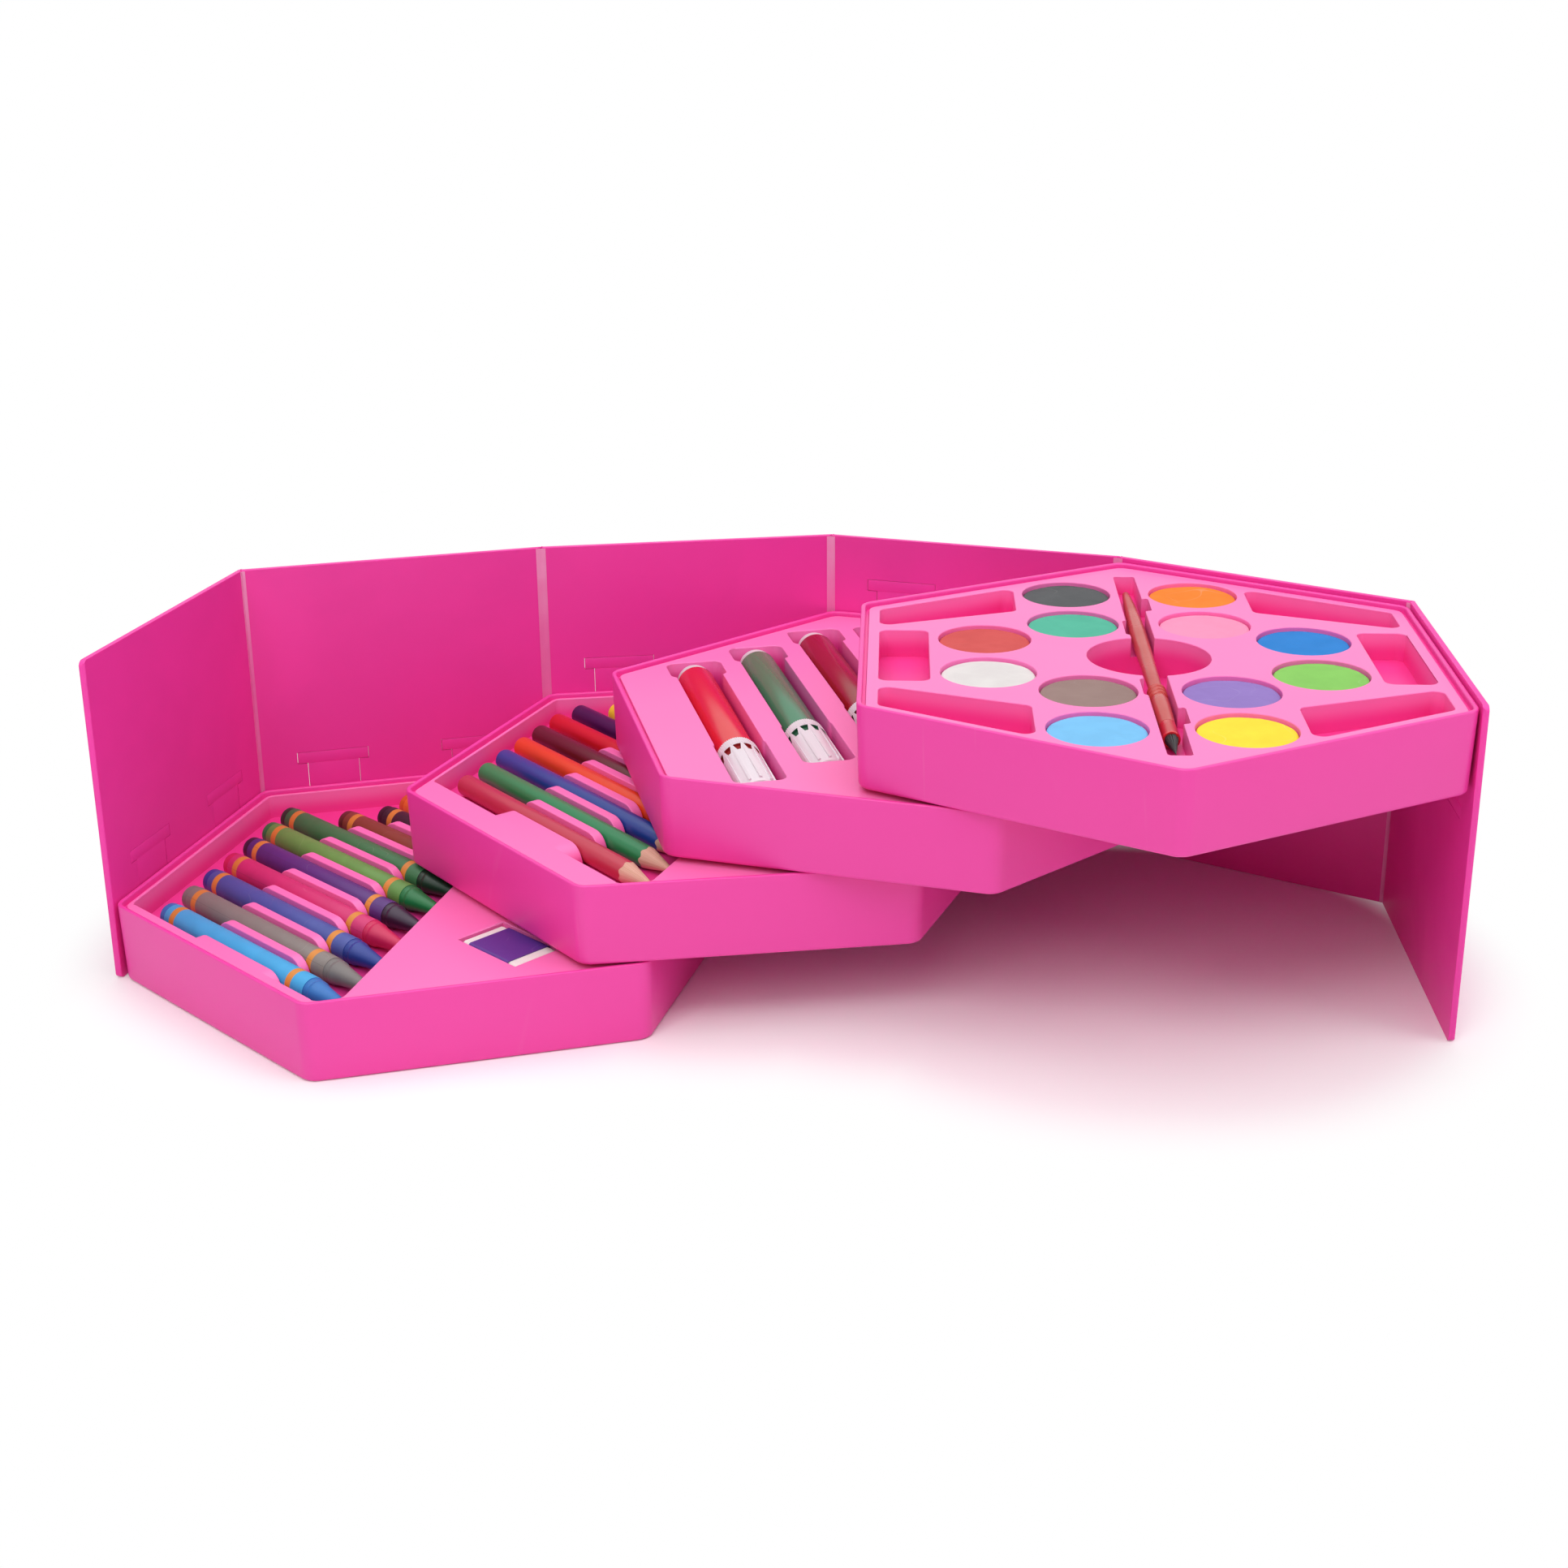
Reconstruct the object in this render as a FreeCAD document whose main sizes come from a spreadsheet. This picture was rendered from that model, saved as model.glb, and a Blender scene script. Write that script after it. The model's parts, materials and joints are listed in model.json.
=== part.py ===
import FreeCAD, Part
import math
import os
import re

# A six-sided art box that folds out like a fan. A strip of six wall panels, joined by upright
# living hinges, carries four trays one above the other: crayons, pencils, felt pens and paints.
# Each tier is drawn about its own tray centre, with the tray's back panel towards +Y, and then
# swung into its place on the hinge before it. The origin is under the centre of the lowest tray.

doc = FreeCAD.newDocument("fold_out_art_box")
sizes = doc.addObject("Spreadsheet::Sheet", "Sizes")

DIMENSIONS = {
    # Wall strip: six panels, hinge axis to hinge axis
    "panel_pitch": 105.0,
    "panel_lip": 1.4,
    "panel_wall": 1.8,
    "bead_radius": 0.5,
    "bead_clearance": 0.05,
    "hinge_gap": 0.1,
    "free_edge_gap": 0.25,
    # How far each moving hinge is turned from flat in the fanned-out pose, in degrees
    "turn_b": 7.2,
    "turn_c": 25.7,
    "turn_d": 14.8,
    # Tray shells
    "tray_height": 26.2,
    "tier_gap": 0.4,
    "tray_clearance": 0.4,
    "tray_draft": 1.6,
    "shell_wall": 1.5,
    "shell_floor": 1.6,
    "corner_radius": 6.0,
    "toe_radius": 1.4,
    # T tabs that hook the trays into the panels
    "tab_spacing": 51.5,
    "tab_head_width": 25.0,
    "tab_head_height": 4.0,
    "tab_stem_width": 18.0,
    "tab_reach": 12.5,
    "tab_root": 7.0,
    "tab_recess": 0.4,
    "tab_clearance": 0.15,
    # Inserts
    "insert_gap": 0.4,
    "insert_drop": 1.2,
    "insert_wall": 1.2,
    "rest_gap": 0.05,
    "fin_clearance": 0.4,
    "fin_drop": 0.2,
    "fin_round": 6.0,
    "bay_corner": 3.0,
    # Crayons
    "crayon_bay_depth": 8.15,
    "crayon_bay_side": 4.1,
    "crayon_rim": 1.7,
    "crayon_fin_wall": 3.1,
    "crayon_setback": 13.0,
    "crayon_tip_gap": 2.6,
    "crayon_bay_front": 1.2,
    "crayon_far_front": 13.2,
    "brown_crayon_slide": 12.0,
    "black_crayon_slide": 11.0,
    "crayon_fin_length": 46.0,
    "crayon_sleeve_radius": 4.2,
    "crayon_wax_radius": 4.0,
    "crayon_butt": 3.0,
    "crayon_shoulder": 3.5,
    "crayon_tip": 11.5,
    "crayon_neck_radius": 3.5,
    "crayon_tip_radius": 1.7,
    # Pencils
    "pencil_bay_depth": 7.3,
    "pencil_bay_side": 7.8,
    "pencil_rim": 8.8,
    "pencil_fin_wall": 3.4,
    "pencil_setback": 8.0,
    "pencil_tip_gap": 4.4,
    "pencil_bay_front": 1.0,
    "green_pencil_slide": 0.8,
    "pencil_fin_length": 44.0,
    "pencil_radius": 3.6,
    "pencil_cone": 12.0,
    "pencil_lead": 2.5,
    "pencil_lead_radius": 0.9,
    "pencil_point_radius": 0.25,
    # Eraser and sharpener, each in a pocket of the crayon insert
    "eraser_length": 26.0,
    "eraser_width": 16.0,
    "eraser_height": 10.0,
    "eraser_setback": 38.6,
    "eraser_across": -19.0,
    "eraser_pocket_depth": 11.0,
    "eraser_round": 1.0,
    "eraser_sleeve_length": 19.0,
    "eraser_sleeve_wall": 0.3,
    "eraser_sleeve_fit": 0.05,
    "pocket_clearance": 0.6,
    "sharpener_length": 24.0,
    "sharpener_width": 14.0,
    "sharpener_height": 9.5,
    "sharpener_along": 54.0,
    "sharpener_across": 1.0,
    "sharpener_pocket_depth": 11.0,
    "sharpener_round": 1.2,
    "sharpener_bore_radius": 3.9,
    "sharpener_bore_depth": 20.0,
    "sharpener_window_width": 3.0,
    "blade_length": 20.0,
    "blade_width": 8.0,
    "blade_thick": 0.7,
    "blade_screw_radius": 1.9,
    "blade_screw_height": 0.9,
    # Felt pens
    "marker_web": 0.74,
    "marker_gap_inner": 1.6,
    "marker_gap_middle": 2.4,
    "marker_gap_outer": 0.5,
    "marker_slot_depth": 12.8,
    "marker_slot_side": 1.4,
    "marker_slot_end": 1.0,
    "marker_slot_corner": 3.0,
    "marker_thumb_width": 18.8,
    "marker_thumb_length": 15.0,
    "marker_cap_bay_width": 16.4,
    "marker_cap_bay_length": 36.0,
    "marker_plug": 5.0,
    "marker_plug_radius": 6.0,
    "marker_barrel": 74.0,
    "marker_barrel_radius": 6.4,
    "marker_snout": 9.0,
    "marker_snout_radius": 5.2,
    "marker_nib": 8.0,
    "marker_nib_radius": 1.5,
    "marker_cap": 36.0,
    "marker_cap_radius": 6.8,
    "marker_cap_end_radius": 6.1,
    "marker_cap_fit": 0.1,
    "marker_cap_bore": 20.0,
    # Paint tray
    "cake_height": 4.6,
    "cake_edge": 0.6,
    "cake_fit": 0.3,
    "cake_cup_depth": 6.2,
    "cake_rim": 2.6,
    "cake_web": 2.35,
    "cake_slot_web": 0.6,
    "water_cup_radius": 19.0,
    "water_cup_depth": 13.0,
    "well_rim": 3.6,
    "well_width": 15.5,
    "well_half_length": 25.4,
    "well_web": 4.6,
    "well_inner": 38.5,
    "well_slant": 21.0,
    "well_corner": 3.0,
    "well_depth": 9.0,
    "brush_slot_width": 7.2,
    "brush_slot_half_length": 88.0,
    "brush_slot_depth": 6.4,
    "outer_notch_at": 55.0,
    "outer_notch_length": 14.0,
    "outer_notch_width": 2.2,
    "inner_notch_at": 29.5,
    "inner_notch_length": 15.0,
    "inner_notch_width": 1.4,
    "notch_corner": 1.2,
    # Brush, from the tail of its handle forwards
    "brush_tail_gap": 10.0,
    "brush_tip_gap": 4.8,
    "brush_tail_radius": 1.2,
    "brush_swell": 46.0,
    "brush_swell_radius": 2.6,
    "brush_waist_radius": 2.1,
    "brush_ring": 1.6,
    "brush_ring_radius": 2.9,
    "brush_ring_gap": 1.2,
    "brush_grip": 24.0,
    "brush_grip_radius": 2.7,
    "brush_ferrule": 11.0,
    "brush_ferrule_radius": 2.4,
    "brush_tuft": 17.0,
    "brush_tuft_radius": 2.1,
    "brush_tuft_end_radius": 0.5,
}
CRAYONS = ("light_blue", "grey", "blue", "crimson", "purple", "light_green",
           "dark_green", "brown", "black", "orange", "yellow", "red")
PENCILS = ("rose", "green", "blue", "orange", "maroon", "red",
           "navy", "yellow", "light_blue", "brown", "pink", "black")
PAINTS = {"black": (-2, -1), "orange": (-2, 1), "teal": (-1, -1), "light_pink": (-1, 1),
          "brick_red": (-0.5, -2), "blue": (-0.5, 2), "white": (0.5, -2), "green": (0.5, 2),
          "umber": (1, -1), "lavender": (1, 1), "light_blue": (2, -1), "yellow": (2, 1)}
MARKER_LANES = ((-2.5, "outer"), (-1.5, "middle"), (-0.5, "inner"),
                (0.5, "inner"), (1.5, "middle"), (2.5, "outer"))
SLIDES = {"crayon_08_brown": "brown_crayon_slide", "crayon_09_black": "black_crayon_slide",
          "pencil_02_green": "green_pencil_slide"}     # sticks that have slid forwards in their lanes
LANE_HEADING = -60.0     # the sticks of every tray lie along the tray's rear-to-front diagonal
SIXTH = 60.0             # turn from one side of the hexagon to the next
LEFT_MITRE = 210.0       # headings of the two boxes that bevel a panel's ends for the fold
RIGHT_MITRE = 240.0
TOUCH = 1e-6             # lengths below this count as none

for row, (name, size) in enumerate(DIMENSIONS.items(), start=1):
    sizes.set("A%d" % row, name)
    sizes.set("B%d" % row, str(size))
    sizes.setAlias("B%d" % row, name)
doc.recompute()

# Lengths that several pieces share, as formulas over the sheet
SHARED = {
    "AXIS_Y": "(panel_pitch * sqrt(3) / 2)",
    "INNER_Y": "(panel_pitch * sqrt(3) / 2 + bead_radius - panel_wall)",
    "TRAY_Y": "(panel_pitch * sqrt(3) / 2 + bead_radius - panel_wall - tray_clearance)",
    "DRAFT_DROP": "(tray_height * tan(tray_draft))",
    "INSERT_Y": "(panel_pitch * sqrt(3) / 2 + bead_radius - panel_wall - tray_clearance"
                " - tray_height * tan(tray_draft) - shell_wall - insert_gap)",
    "PLATE_Z": "(tray_height - insert_drop)",
    "TIER_PITCH": "(tray_height + tier_gap)",
    "PANEL_HEIGHT": "(4 * tray_height + 3 * tier_gap + panel_lip)",
    "CRAYON_PITCH": "(2 * crayon_sleeve_radius + 2 * fin_clearance + crayon_fin_wall)",
    "PENCIL_PITCH": "(2 * pencil_radius + 2 * fin_clearance + pencil_fin_wall)",
    "BAY_Y": "(INSERT_Y - insert_wall)",
    "CRAYON_LENGTH": "((4 * BAY_Y - 2 * CRAYON_OFFSET) / sqrt(3) - crayon_setback - crayon_tip_gap)",
    "CRAYON_SLEEVE": "(CRAYON_LENGTH - crayon_butt - crayon_shoulder - crayon_tip)",
    "PENCIL_LENGTH": "((4 * BAY_Y - 2 * PENCIL_OFFSET) / sqrt(3) - pencil_setback - pencil_tip_gap)",
    "PENCIL_BARREL": "(PENCIL_LENGTH - pencil_cone - pencil_lead)",
    "CRAYON_OFFSET": "(BAY_Y - crayon_rim - crayon_bay_side - crayon_sleeve_radius)",
    "PENCIL_OFFSET": "(BAY_Y - pencil_rim - pencil_bay_side - pencil_radius)",
    "MARKER_LENGTH": "(marker_plug + marker_barrel + marker_cap)",
    "MARKER_PITCH": "((2 * BAY_Y - sqrt(3) * (MARKER_LENGTH / 2 + marker_slot_end + marker_web)"
                    " - marker_cap_bay_width / 2) / %s)" % MARKER_LANES[-1][0],
    # The paints fill the tray: a corner paint stands a rim away from the slanting wall
    "CAKE_BESIDE": "(brush_slot_width / 2 + outer_notch_width + cake_slot_web + cake_fit)",
    "CAKE_PITCH": "((BAY_Y - cake_rim - cake_fit - CAKE_BESIDE / 2 + 3 * cake_web / 2)"
                  " / (sqrt(3) + 3 / 4))",
    "CAKE_RADIUS": "(CAKE_PITCH / 2 - cake_web)",
    "CAKE_COLUMN": "(CAKE_BESIDE + CAKE_RADIUS)",
    "ERASER_ALONG": "(2 * BAY_Y / sqrt(3) - eraser_setback)",
    "SHARPENER_ALONG": "sharpener_along",
    "BRUSH_TAIL": "(brush_slot_half_length - brush_tail_gap)",
    "FERRULE_X": "(brush_slot_half_length - brush_tip_gap - brush_tuft - brush_ferrule)",
    "BRUSH_WAIST": "(BRUSH_TAIL + FERRULE_X - brush_swell - 3 * brush_ring - 2 * brush_ring_gap"
                   " - brush_grip)",
}
SHARED_WORD = re.compile(r"\b(%s)\b" % "|".join(SHARED))
SIZE_WORD = re.compile(r"\b(%s)\b" % "|".join(DIMENSIONS))
Z_AXIS = FreeCAD.Vector(0, 0, 1)
SUBPARTS = []


def formula(text):
    """Write a formula out in the sheet's own names."""
    spelled = str(text)
    while SHARED_WORD.search(spelled):
        spelled = SHARED_WORD.sub(lambda word: SHARED[word.group(1)], spelled)
    return SIZE_WORD.sub(r"Sizes.\1", spelled)


def value(name):
    return float(sizes.get(name))


def primitive(kind, name, at, spin=None, **properties):
    """A Part primitive whose sizes and place follow formulas over the sheet."""
    obj = doc.addObject(kind, name)
    if spin is not None:
        obj.Placement = FreeCAD.Placement(FreeCAD.Vector(), spin)
    for key, text in properties.items():
        obj.setExpression(key, formula(text))
    for axis, text in zip("xyz", at):
        obj.setExpression("Placement.Base." + axis, formula(text))
    return obj


def box(name, size, at, turn=0.0):
    spin = FreeCAD.Rotation(Z_AXIS, turn)
    return primitive("Part::Box", name, at, spin, Length=size[0], Width=size[1], Height=size[2])


def upright(name, radius, height, at):
    return primitive("Part::Cylinder", name, at, None, Radius=radius, Height=height)


def hexagon(name, apothem, height, at):
    prism = primitive("Part::Prism", name, at, None, Height=height,
                      Circumradius="2 * (%s) / sqrt(3)" % apothem)
    prism.Polygon = 6
    return prism


def fuse(name, pieces):
    joined = doc.addObject("Part::MultiFuse", name)
    joined.Shapes = pieces
    joined.Refine = True
    return joined


def common(name, pieces):
    shared = doc.addObject("Part::MultiCommon", name)
    shared.Shapes = pieces
    return shared


def cut(name, base, tools):
    result = doc.addObject("Part::Cut", name)
    result.Base = base
    result.Tool = tools[0] if len(tools) == 1 else fuse(name + "_tools", tools)
    result.Refine = True
    return result


def mirrored(name, source, normal):
    twin = doc.addObject("Part::Mirroring", name)
    twin.Source = source
    twin.Normal = normal
    return twin


def stick(name, sections, at):
    """A turned piece along +X: a row of cylinders and cones, each (length, radius, end radius)."""
    start = at[0]
    lying = FreeCAD.Rotation(FreeCAD.Vector(0, 1, 0), 90)
    pieces = []
    for number, (length, radius, end_radius) in enumerate(sections):
        place = (start, at[1], at[2])
        part_name = "%s_run_%d" % (name, number)
        if radius == end_radius:
            piece = primitive("Part::Cylinder", part_name, place, lying, Radius=radius, Height=length)
        else:
            piece = primitive("Part::Cone", part_name, place, lying, Height=length,
                              Radius1=radius, Radius2=end_radius)
        pieces.append(piece)
        start = "%s + %s" % (start, length)
    return pieces[0] if len(pieces) == 1 else fuse(name, pieces)


def rounded(name, base, test, radius):
    """Round the edges of a piece that the test picks out."""
    doc.recompute()
    result = doc.addObject("Part::Fillet", name)
    result.Base = base
    result.Edges = [(number, value(radius), value(radius))
                    for number, edge in enumerate(base.Shape.Edges, start=1) if test(edge.BoundBox)]
    return result


def stands(edge):
    return edge.XLength < TOUCH and edge.YLength < TOUCH


def round_corners(name, base, radius, wall):
    """Round the standing corners of a pocket, or of the jacket a wall thickness outside it."""
    doc.recompute()
    reach = value(radius) + (0.0 if wall == "0" else value(wall))
    result = doc.addObject("Part::Fillet", name)
    result.Base = base
    result.Edges = [(number, reach, reach)
                    for number, edge in enumerate(base.Shape.Edges, start=1) if stands(edge.BoundBox)]
    return result


def tier_placement(tier):
    """Where a tier's own frame lies when the box is fanned out: each hangs on the hinge before it."""
    pitch = value("panel_pitch")
    rear_left = FreeCAD.Vector(-pitch / 2, pitch * math.sqrt(3) / 2, 0)
    corner = rear_left
    heading = 0.0
    for hinge in ("turn_b", "turn_c", "turn_d")[:tier - 1]:
        corner = corner + FreeCAD.Rotation(Z_AXIS, heading).multVec(FreeCAD.Vector(pitch, 0, 0))
        heading -= value(hinge)
    spin = FreeCAD.Rotation(Z_AXIS, heading)
    return FreeCAD.Placement(corner - spin.multVec(rear_left), spin)


def keep(obj, label, tier, turn=0.0, raised=True):
    """Name a finished sub-part and swing it into its tier, raised to the tray or on the floor."""
    level = (tier - 1) * (value("tray_height") + value("tier_gap")) if raised else 0.0
    turned = FreeCAD.Placement(FreeCAD.Vector(0, 0, level), FreeCAD.Rotation(Z_AXIS, turn))
    obj.Label = label
    obj.Placement = tier_placement(tier).multiply(turned)
    SUBPARTS.append(obj)


def edges_where(shape, test):
    return ["Edge%d" % number for number, edge in enumerate(shape.Edges, start=1) if test(edge)]


def is_upright(edge):
    return abs(edge.Vertexes[0].Z - edge.Vertexes[-1].Z) > value("shell_wall")


def hex_block(name, apothem, height, corner, z="0", draft=False, toe=False):
    """A six-sided block with rounded corners, which may narrow downwards and have a rounded foot."""
    body = doc.addObject("PartDesign::Body", name)
    block = body.newObject("PartDesign::AdditivePrism", name + "_block")
    block.Polygon = 6
    block.setExpression("Circumradius", formula("2 * (%s) / sqrt(3)" % apothem))
    block.setExpression("Height", formula(height))
    body.setExpression("Placement.Base.z", formula(z))
    doc.recompute()
    feature = block
    if draft:
        faces = block.Shape.Faces
        top = max(range(len(faces)), key=lambda index: faces[index].CenterOfMass.z)
        sides = [index for index, face in enumerate(faces) if abs(face.normalAt(0, 0).z) < 0.5]
        feature = body.newObject("PartDesign::Draft", name + "_draft")
        feature.Base = (block, ["Face%d" % (index + 1) for index in sides])
        feature.NeutralPlane = (block, ["Face%d" % (top + 1)])
        feature.Reversed = True
        feature.setExpression("Angle", formula("tray_draft"))
        doc.recompute()
    corners = body.newObject("PartDesign::Fillet", name + "_corners")
    corners.Base = (feature, edges_where(feature.Shape, is_upright))
    corners.setExpression("Radius", formula(corner))
    doc.recompute()
    if toe:
        foot = body.newObject("PartDesign::Fillet", name + "_toe")
        low = corners.Shape.BoundBox.ZMin + value("shell_floor") / 2
        foot.Base = (corners, edges_where(corners.Shape, lambda edge: edge.BoundBox.ZMax < low))
        foot.setExpression("Radius", formula("toe_radius"))
        doc.recompute()
    return body


# Wall panels

def tab_slots(name, tier, flipped):
    """The two T-shaped openings of a panel, a clearance larger than the tabs that fill them."""
    slots = []
    for side in (-1, 1):
        middle = "%d * tab_spacing / 2" % side
        rim = "%d * TIER_PITCH + tray_height" % (tier - 1)
        foot = "%d * TIER_PITCH" % (tier - 1)
        head_z = "%s - tab_reach" % foot if flipped else "%s + tab_reach - tab_head_height" % rim
        stem_z = "%s - tab_reach" % foot if flipped else "%s - tab_root" % rim
        for piece, width, height, z in (("head", "tab_head_width", "tab_head_height", head_z),
                                        ("stem", "tab_stem_width", "tab_reach + tab_root", stem_z)):
            size = ("%s + 2 * tab_clearance" % width, "2 * panel_wall", "%s + 2 * tab_clearance" % height)
            at = ("%s - %s / 2 - tab_clearance" % (middle, width), "INNER_Y - panel_wall / 2",
                  "%s - tab_clearance" % z)
            slots.append(box("%s_slot_%s_%d" % (name, piece, side + 1), size, at))
    return slots


def panel(number, tier, turn, left_hinge, right_hinge, flipped):
    """A wall panel: mitred ends that let it fold by a sixth, a bead on one hinge, a socket on the other."""
    name = "wall_panel_%d" % number
    left_gap = "hinge_gap" if left_hinge else "free_edge_gap"
    right_gap = "hinge_gap" if right_hinge else "free_edge_gap"
    left_end = "%s - panel_pitch / 2" % left_gap
    right_end = "panel_pitch / 2 - %s" % right_gap
    slab = box(name + "_slab", ("%s - (%s)" % (right_end, left_end), "panel_wall", "PANEL_HEIGHT"),
               (left_end, "INNER_Y", "0"))
    mitre = ("3 * panel_wall", "3 * panel_wall", "PANEL_HEIGHT")
    tools = tab_slots(name, tier, flipped)
    tools.append(box(name + "_mitre_left", mitre, (left_end, "AXIS_Y", "0"), LEFT_MITRE))
    tools.append(box(name + "_mitre_right", mitre, (right_end, "AXIS_Y", "0"), RIGHT_MITRE))
    if left_hinge:
        tools.append(upright(name + "_socket", "bead_radius + bead_clearance", "PANEL_HEIGHT",
                             ("-panel_pitch / 2", "AXIS_Y", "0")))
    plate = cut(name + "_plate" if right_hinge else name, slab, tools)
    if right_hinge:
        bead = upright(name + "_bead", "bead_radius", "PANEL_HEIGHT", ("panel_pitch / 2", "AXIS_Y", "0"))
        plate = fuse(name, [plate, bead])
    keep(plate, name, tier, turn, raised=False)


panel(1, 1, SIXTH, False, True, False)
panel(2, 1, 0.0, True, True, False)
panel(3, 2, 0.0, True, True, False)
panel(4, 3, 0.0, True, True, False)
panel(5, 4, 0.0, True, True, True)
panel(6, 4, -SIXTH, True, False, True)


# Tray shells

def tabs(name, flipped, turn):
    """Two T tabs on one side of a tray: head and stem lie in the panel, a root joins them to the wall."""
    pieces = []
    for side in (-1, 1):
        middle = "%d * tab_spacing / 2" % side
        thick = "panel_wall - tab_recess"
        root_y = "TRAY_Y - DRAFT_DROP - shell_wall / 2"
        head_z = "-tab_reach" if flipped else "tray_height + tab_reach - tab_head_height"
        stem_z = "-tab_reach" if flipped else "tray_height - tab_root"
        root_z = "2 * toe_radius" if flipped else "tray_height - tab_root"
        root_size = ("tab_stem_width", "INNER_Y - TRAY_Y + DRAFT_DROP + shell_wall / 2",
                     "tab_root - 2 * toe_radius")
        label = "%s_%d" % (name, side + 1)
        pieces += [
            box(label + "_head", ("tab_head_width", thick, "tab_head_height"),
                ("%s - tab_head_width / 2" % middle, "INNER_Y", head_z)),
            box(label + "_stem", ("tab_stem_width", thick, "tab_reach + tab_root"),
                ("%s - tab_stem_width / 2" % middle, "INNER_Y", stem_z)),
            box(label + "_root", root_size, ("%s - tab_stem_width / 2" % middle, root_y, root_z)),
        ]
    pair = fuse(name, pieces)
    pair.Placement = FreeCAD.Placement(FreeCAD.Vector(), FreeCAD.Rotation(Z_AXIS, turn))
    return pair


def shell(tier, sides, flipped):
    name = "tray_shell_%d" % tier
    outside = hex_block(name + "_outside", "TRAY_Y", "tray_height", "corner_radius", draft=True, toe=True)
    inside = hex_block(name + "_inside", "TRAY_Y - shell_wall", "tray_height - shell_floor",
                       "corner_radius - shell_wall", z="shell_floor", draft=True)
    cup = cut(name + "_cup", outside, [inside])
    hooks = [tabs("%s_tabs_%d" % (name, number), flipped, turn) for number, turn in enumerate(sides)]
    keep(fuse(name, [cup] + hooks), name, tier)


shell(1, (0.0, SIXTH), False)
shell(2, (0.0,), False)
shell(3, (0.0,), False)
shell(4, (0.0, -SIXTH), True)


# Tray inserts: a plate with a skirt that stands on the shell's floor, and pockets hanging from it.
# Here X runs along the sticks, from the rear corner to the front one, and Y across them.

def insert(name, pockets, jackets, additions, tier):
    """Cut the pockets from a block, and everything but their jackets out from under the plate."""
    block = hex_block(name + "_block", "INSERT_Y", "PLATE_Z - shell_floor", "corner_radius - shell_wall",
                      z="shell_floor")
    under = hexagon(name + "_under", "INSERT_Y - insert_wall", "PLATE_Z - shell_floor - insert_wall",
                    ("0", "0", "shell_floor"))
    hollow = cut(name + "_hollow", under, jackets)
    plate = cut(name + "_plate" if additions else name, block, pockets + [hollow])
    if additions:
        plate = fuse(name, [plate] + additions)
    keep(plate, name, tier, LANE_HEADING)


def lane(kind, number):
    return "(%d * %s_PITCH - %s_OFFSET)" % (number, kind.upper(), kind.upper())


def rear_end(kind, number):
    """Rear end of a stick: a setback in front of the two slanting rear walls of the bay."""
    return "(abs(%s) / sqrt(3) - 2 * BAY_Y / sqrt(3) + %s_setback)" % (lane(kind, number), kind)


def far_side(kind, number, radius):
    """Far side of a bay: a rim away from the insert's wall, or nearer if the last stick needs it."""
    beside = "%s + %s + %s_bay_side" % (lane(kind, number), radius, kind)
    return "min(BAY_Y; max(BAY_Y - %s_rim; %s))" % (kind, beside)


def bay(name, kind, lanes, radius, front_gap, wall):
    """The bay of a row of sticks: the hexagon less the same hexagon slid forwards, between two sides."""
    depth = "%s_bay_depth + %s" % (kind, wall)
    height = "%s + insert_drop" % depth
    z = "PLATE_Z - (%s)" % depth
    reach = "BAY_Y + %s" % wall
    whole = hexagon(name + "_whole", reach, height, ("0", "0", z))
    length = "%s_setback + %s_LENGTH + %s" % (kind, kind.upper(), front_gap)
    front = hexagon(name + "_front", "BAY_Y - %s" % wall, height, (length, "0", z))
    low = "%s - %s - %s_bay_side - %s" % (lane(kind, lanes[0]), radius, kind, wall)
    high = "%s + %s" % (far_side(kind, lanes[-1], radius), wall)
    sides = box(name + "_sides", ("4 * INSERT_Y", "%s - (%s)" % (high, low), height),
                ("-2 * INSERT_Y", low, z))
    return common(name, [cut(name + "_chevron", whole, [front]), sides])


def fin(name, kind, rear, low, high):
    """A flat-topped rib that keeps two sticks apart, rounded down at both ends."""
    foot = "insert_wall / 2"
    rib = box(name + "_rib", ("%s_fin_length" % kind, "%s - (%s)" % (high, low),
                              "%s_bay_depth - fin_drop + %s" % (kind, foot)),
              ("%s + %s_LENGTH / 2 - %s_fin_length / 2" % (rear, kind.upper(), kind), low,
               "PLATE_Z - %s_bay_depth - %s" % (kind, foot)))
    doc.recompute()
    top = rib.Shape.BoundBox.ZMax
    return rounded(name, rib, lambda edge: edge.ZMin > top - TOUCH and edge.XLength < TOUCH, "fin_round")


def fins(name, kind, count, radius):
    ribs = []
    reach = "(%s + fin_clearance)" % radius
    for number in range(count + 1):
        after = min(number, count - 1)
        before = max(number - 1, 0)
        low = "%s + %s" % (lane(kind, before), reach)
        high = "%s - %s" % (lane(kind, after), reach)
        if number == 0:
            low = "%s - %s - %s_bay_side" % (lane(kind, 0), radius, kind)
        if number == count:
            high = far_side(kind, count - 1, radius)
        rear = "(%s + %s) / 2" % (rear_end(kind, before), rear_end(kind, after))
        ribs.append(fin("%s_fin_%d" % (name, number), kind, rear, low, high))
    return ribs


def pocket(name, kind, wall):
    """A box-shaped pocket for a loose piece that lies along the sticks."""
    room = "2 * pocket_clearance + 2 * %s" % wall
    if kind == "eraser":
        room += " + 2 * eraser_sleeve_wall + 2 * eraser_sleeve_fit"
    return box(name, ("%s_length + %s" % (kind, room), "%s_width + %s" % (kind, room),
                      "%s_pocket_depth + %s + insert_drop" % (kind, wall)),
               ("%s_ALONG - %s_length / 2 - (%s) / 2" % (kind.upper(), kind, room),
                "%s_across - %s_width / 2 - (%s) / 2" % (kind, kind, room),
                "PLATE_Z - %s_pocket_depth - %s" % (kind, wall)))


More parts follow.
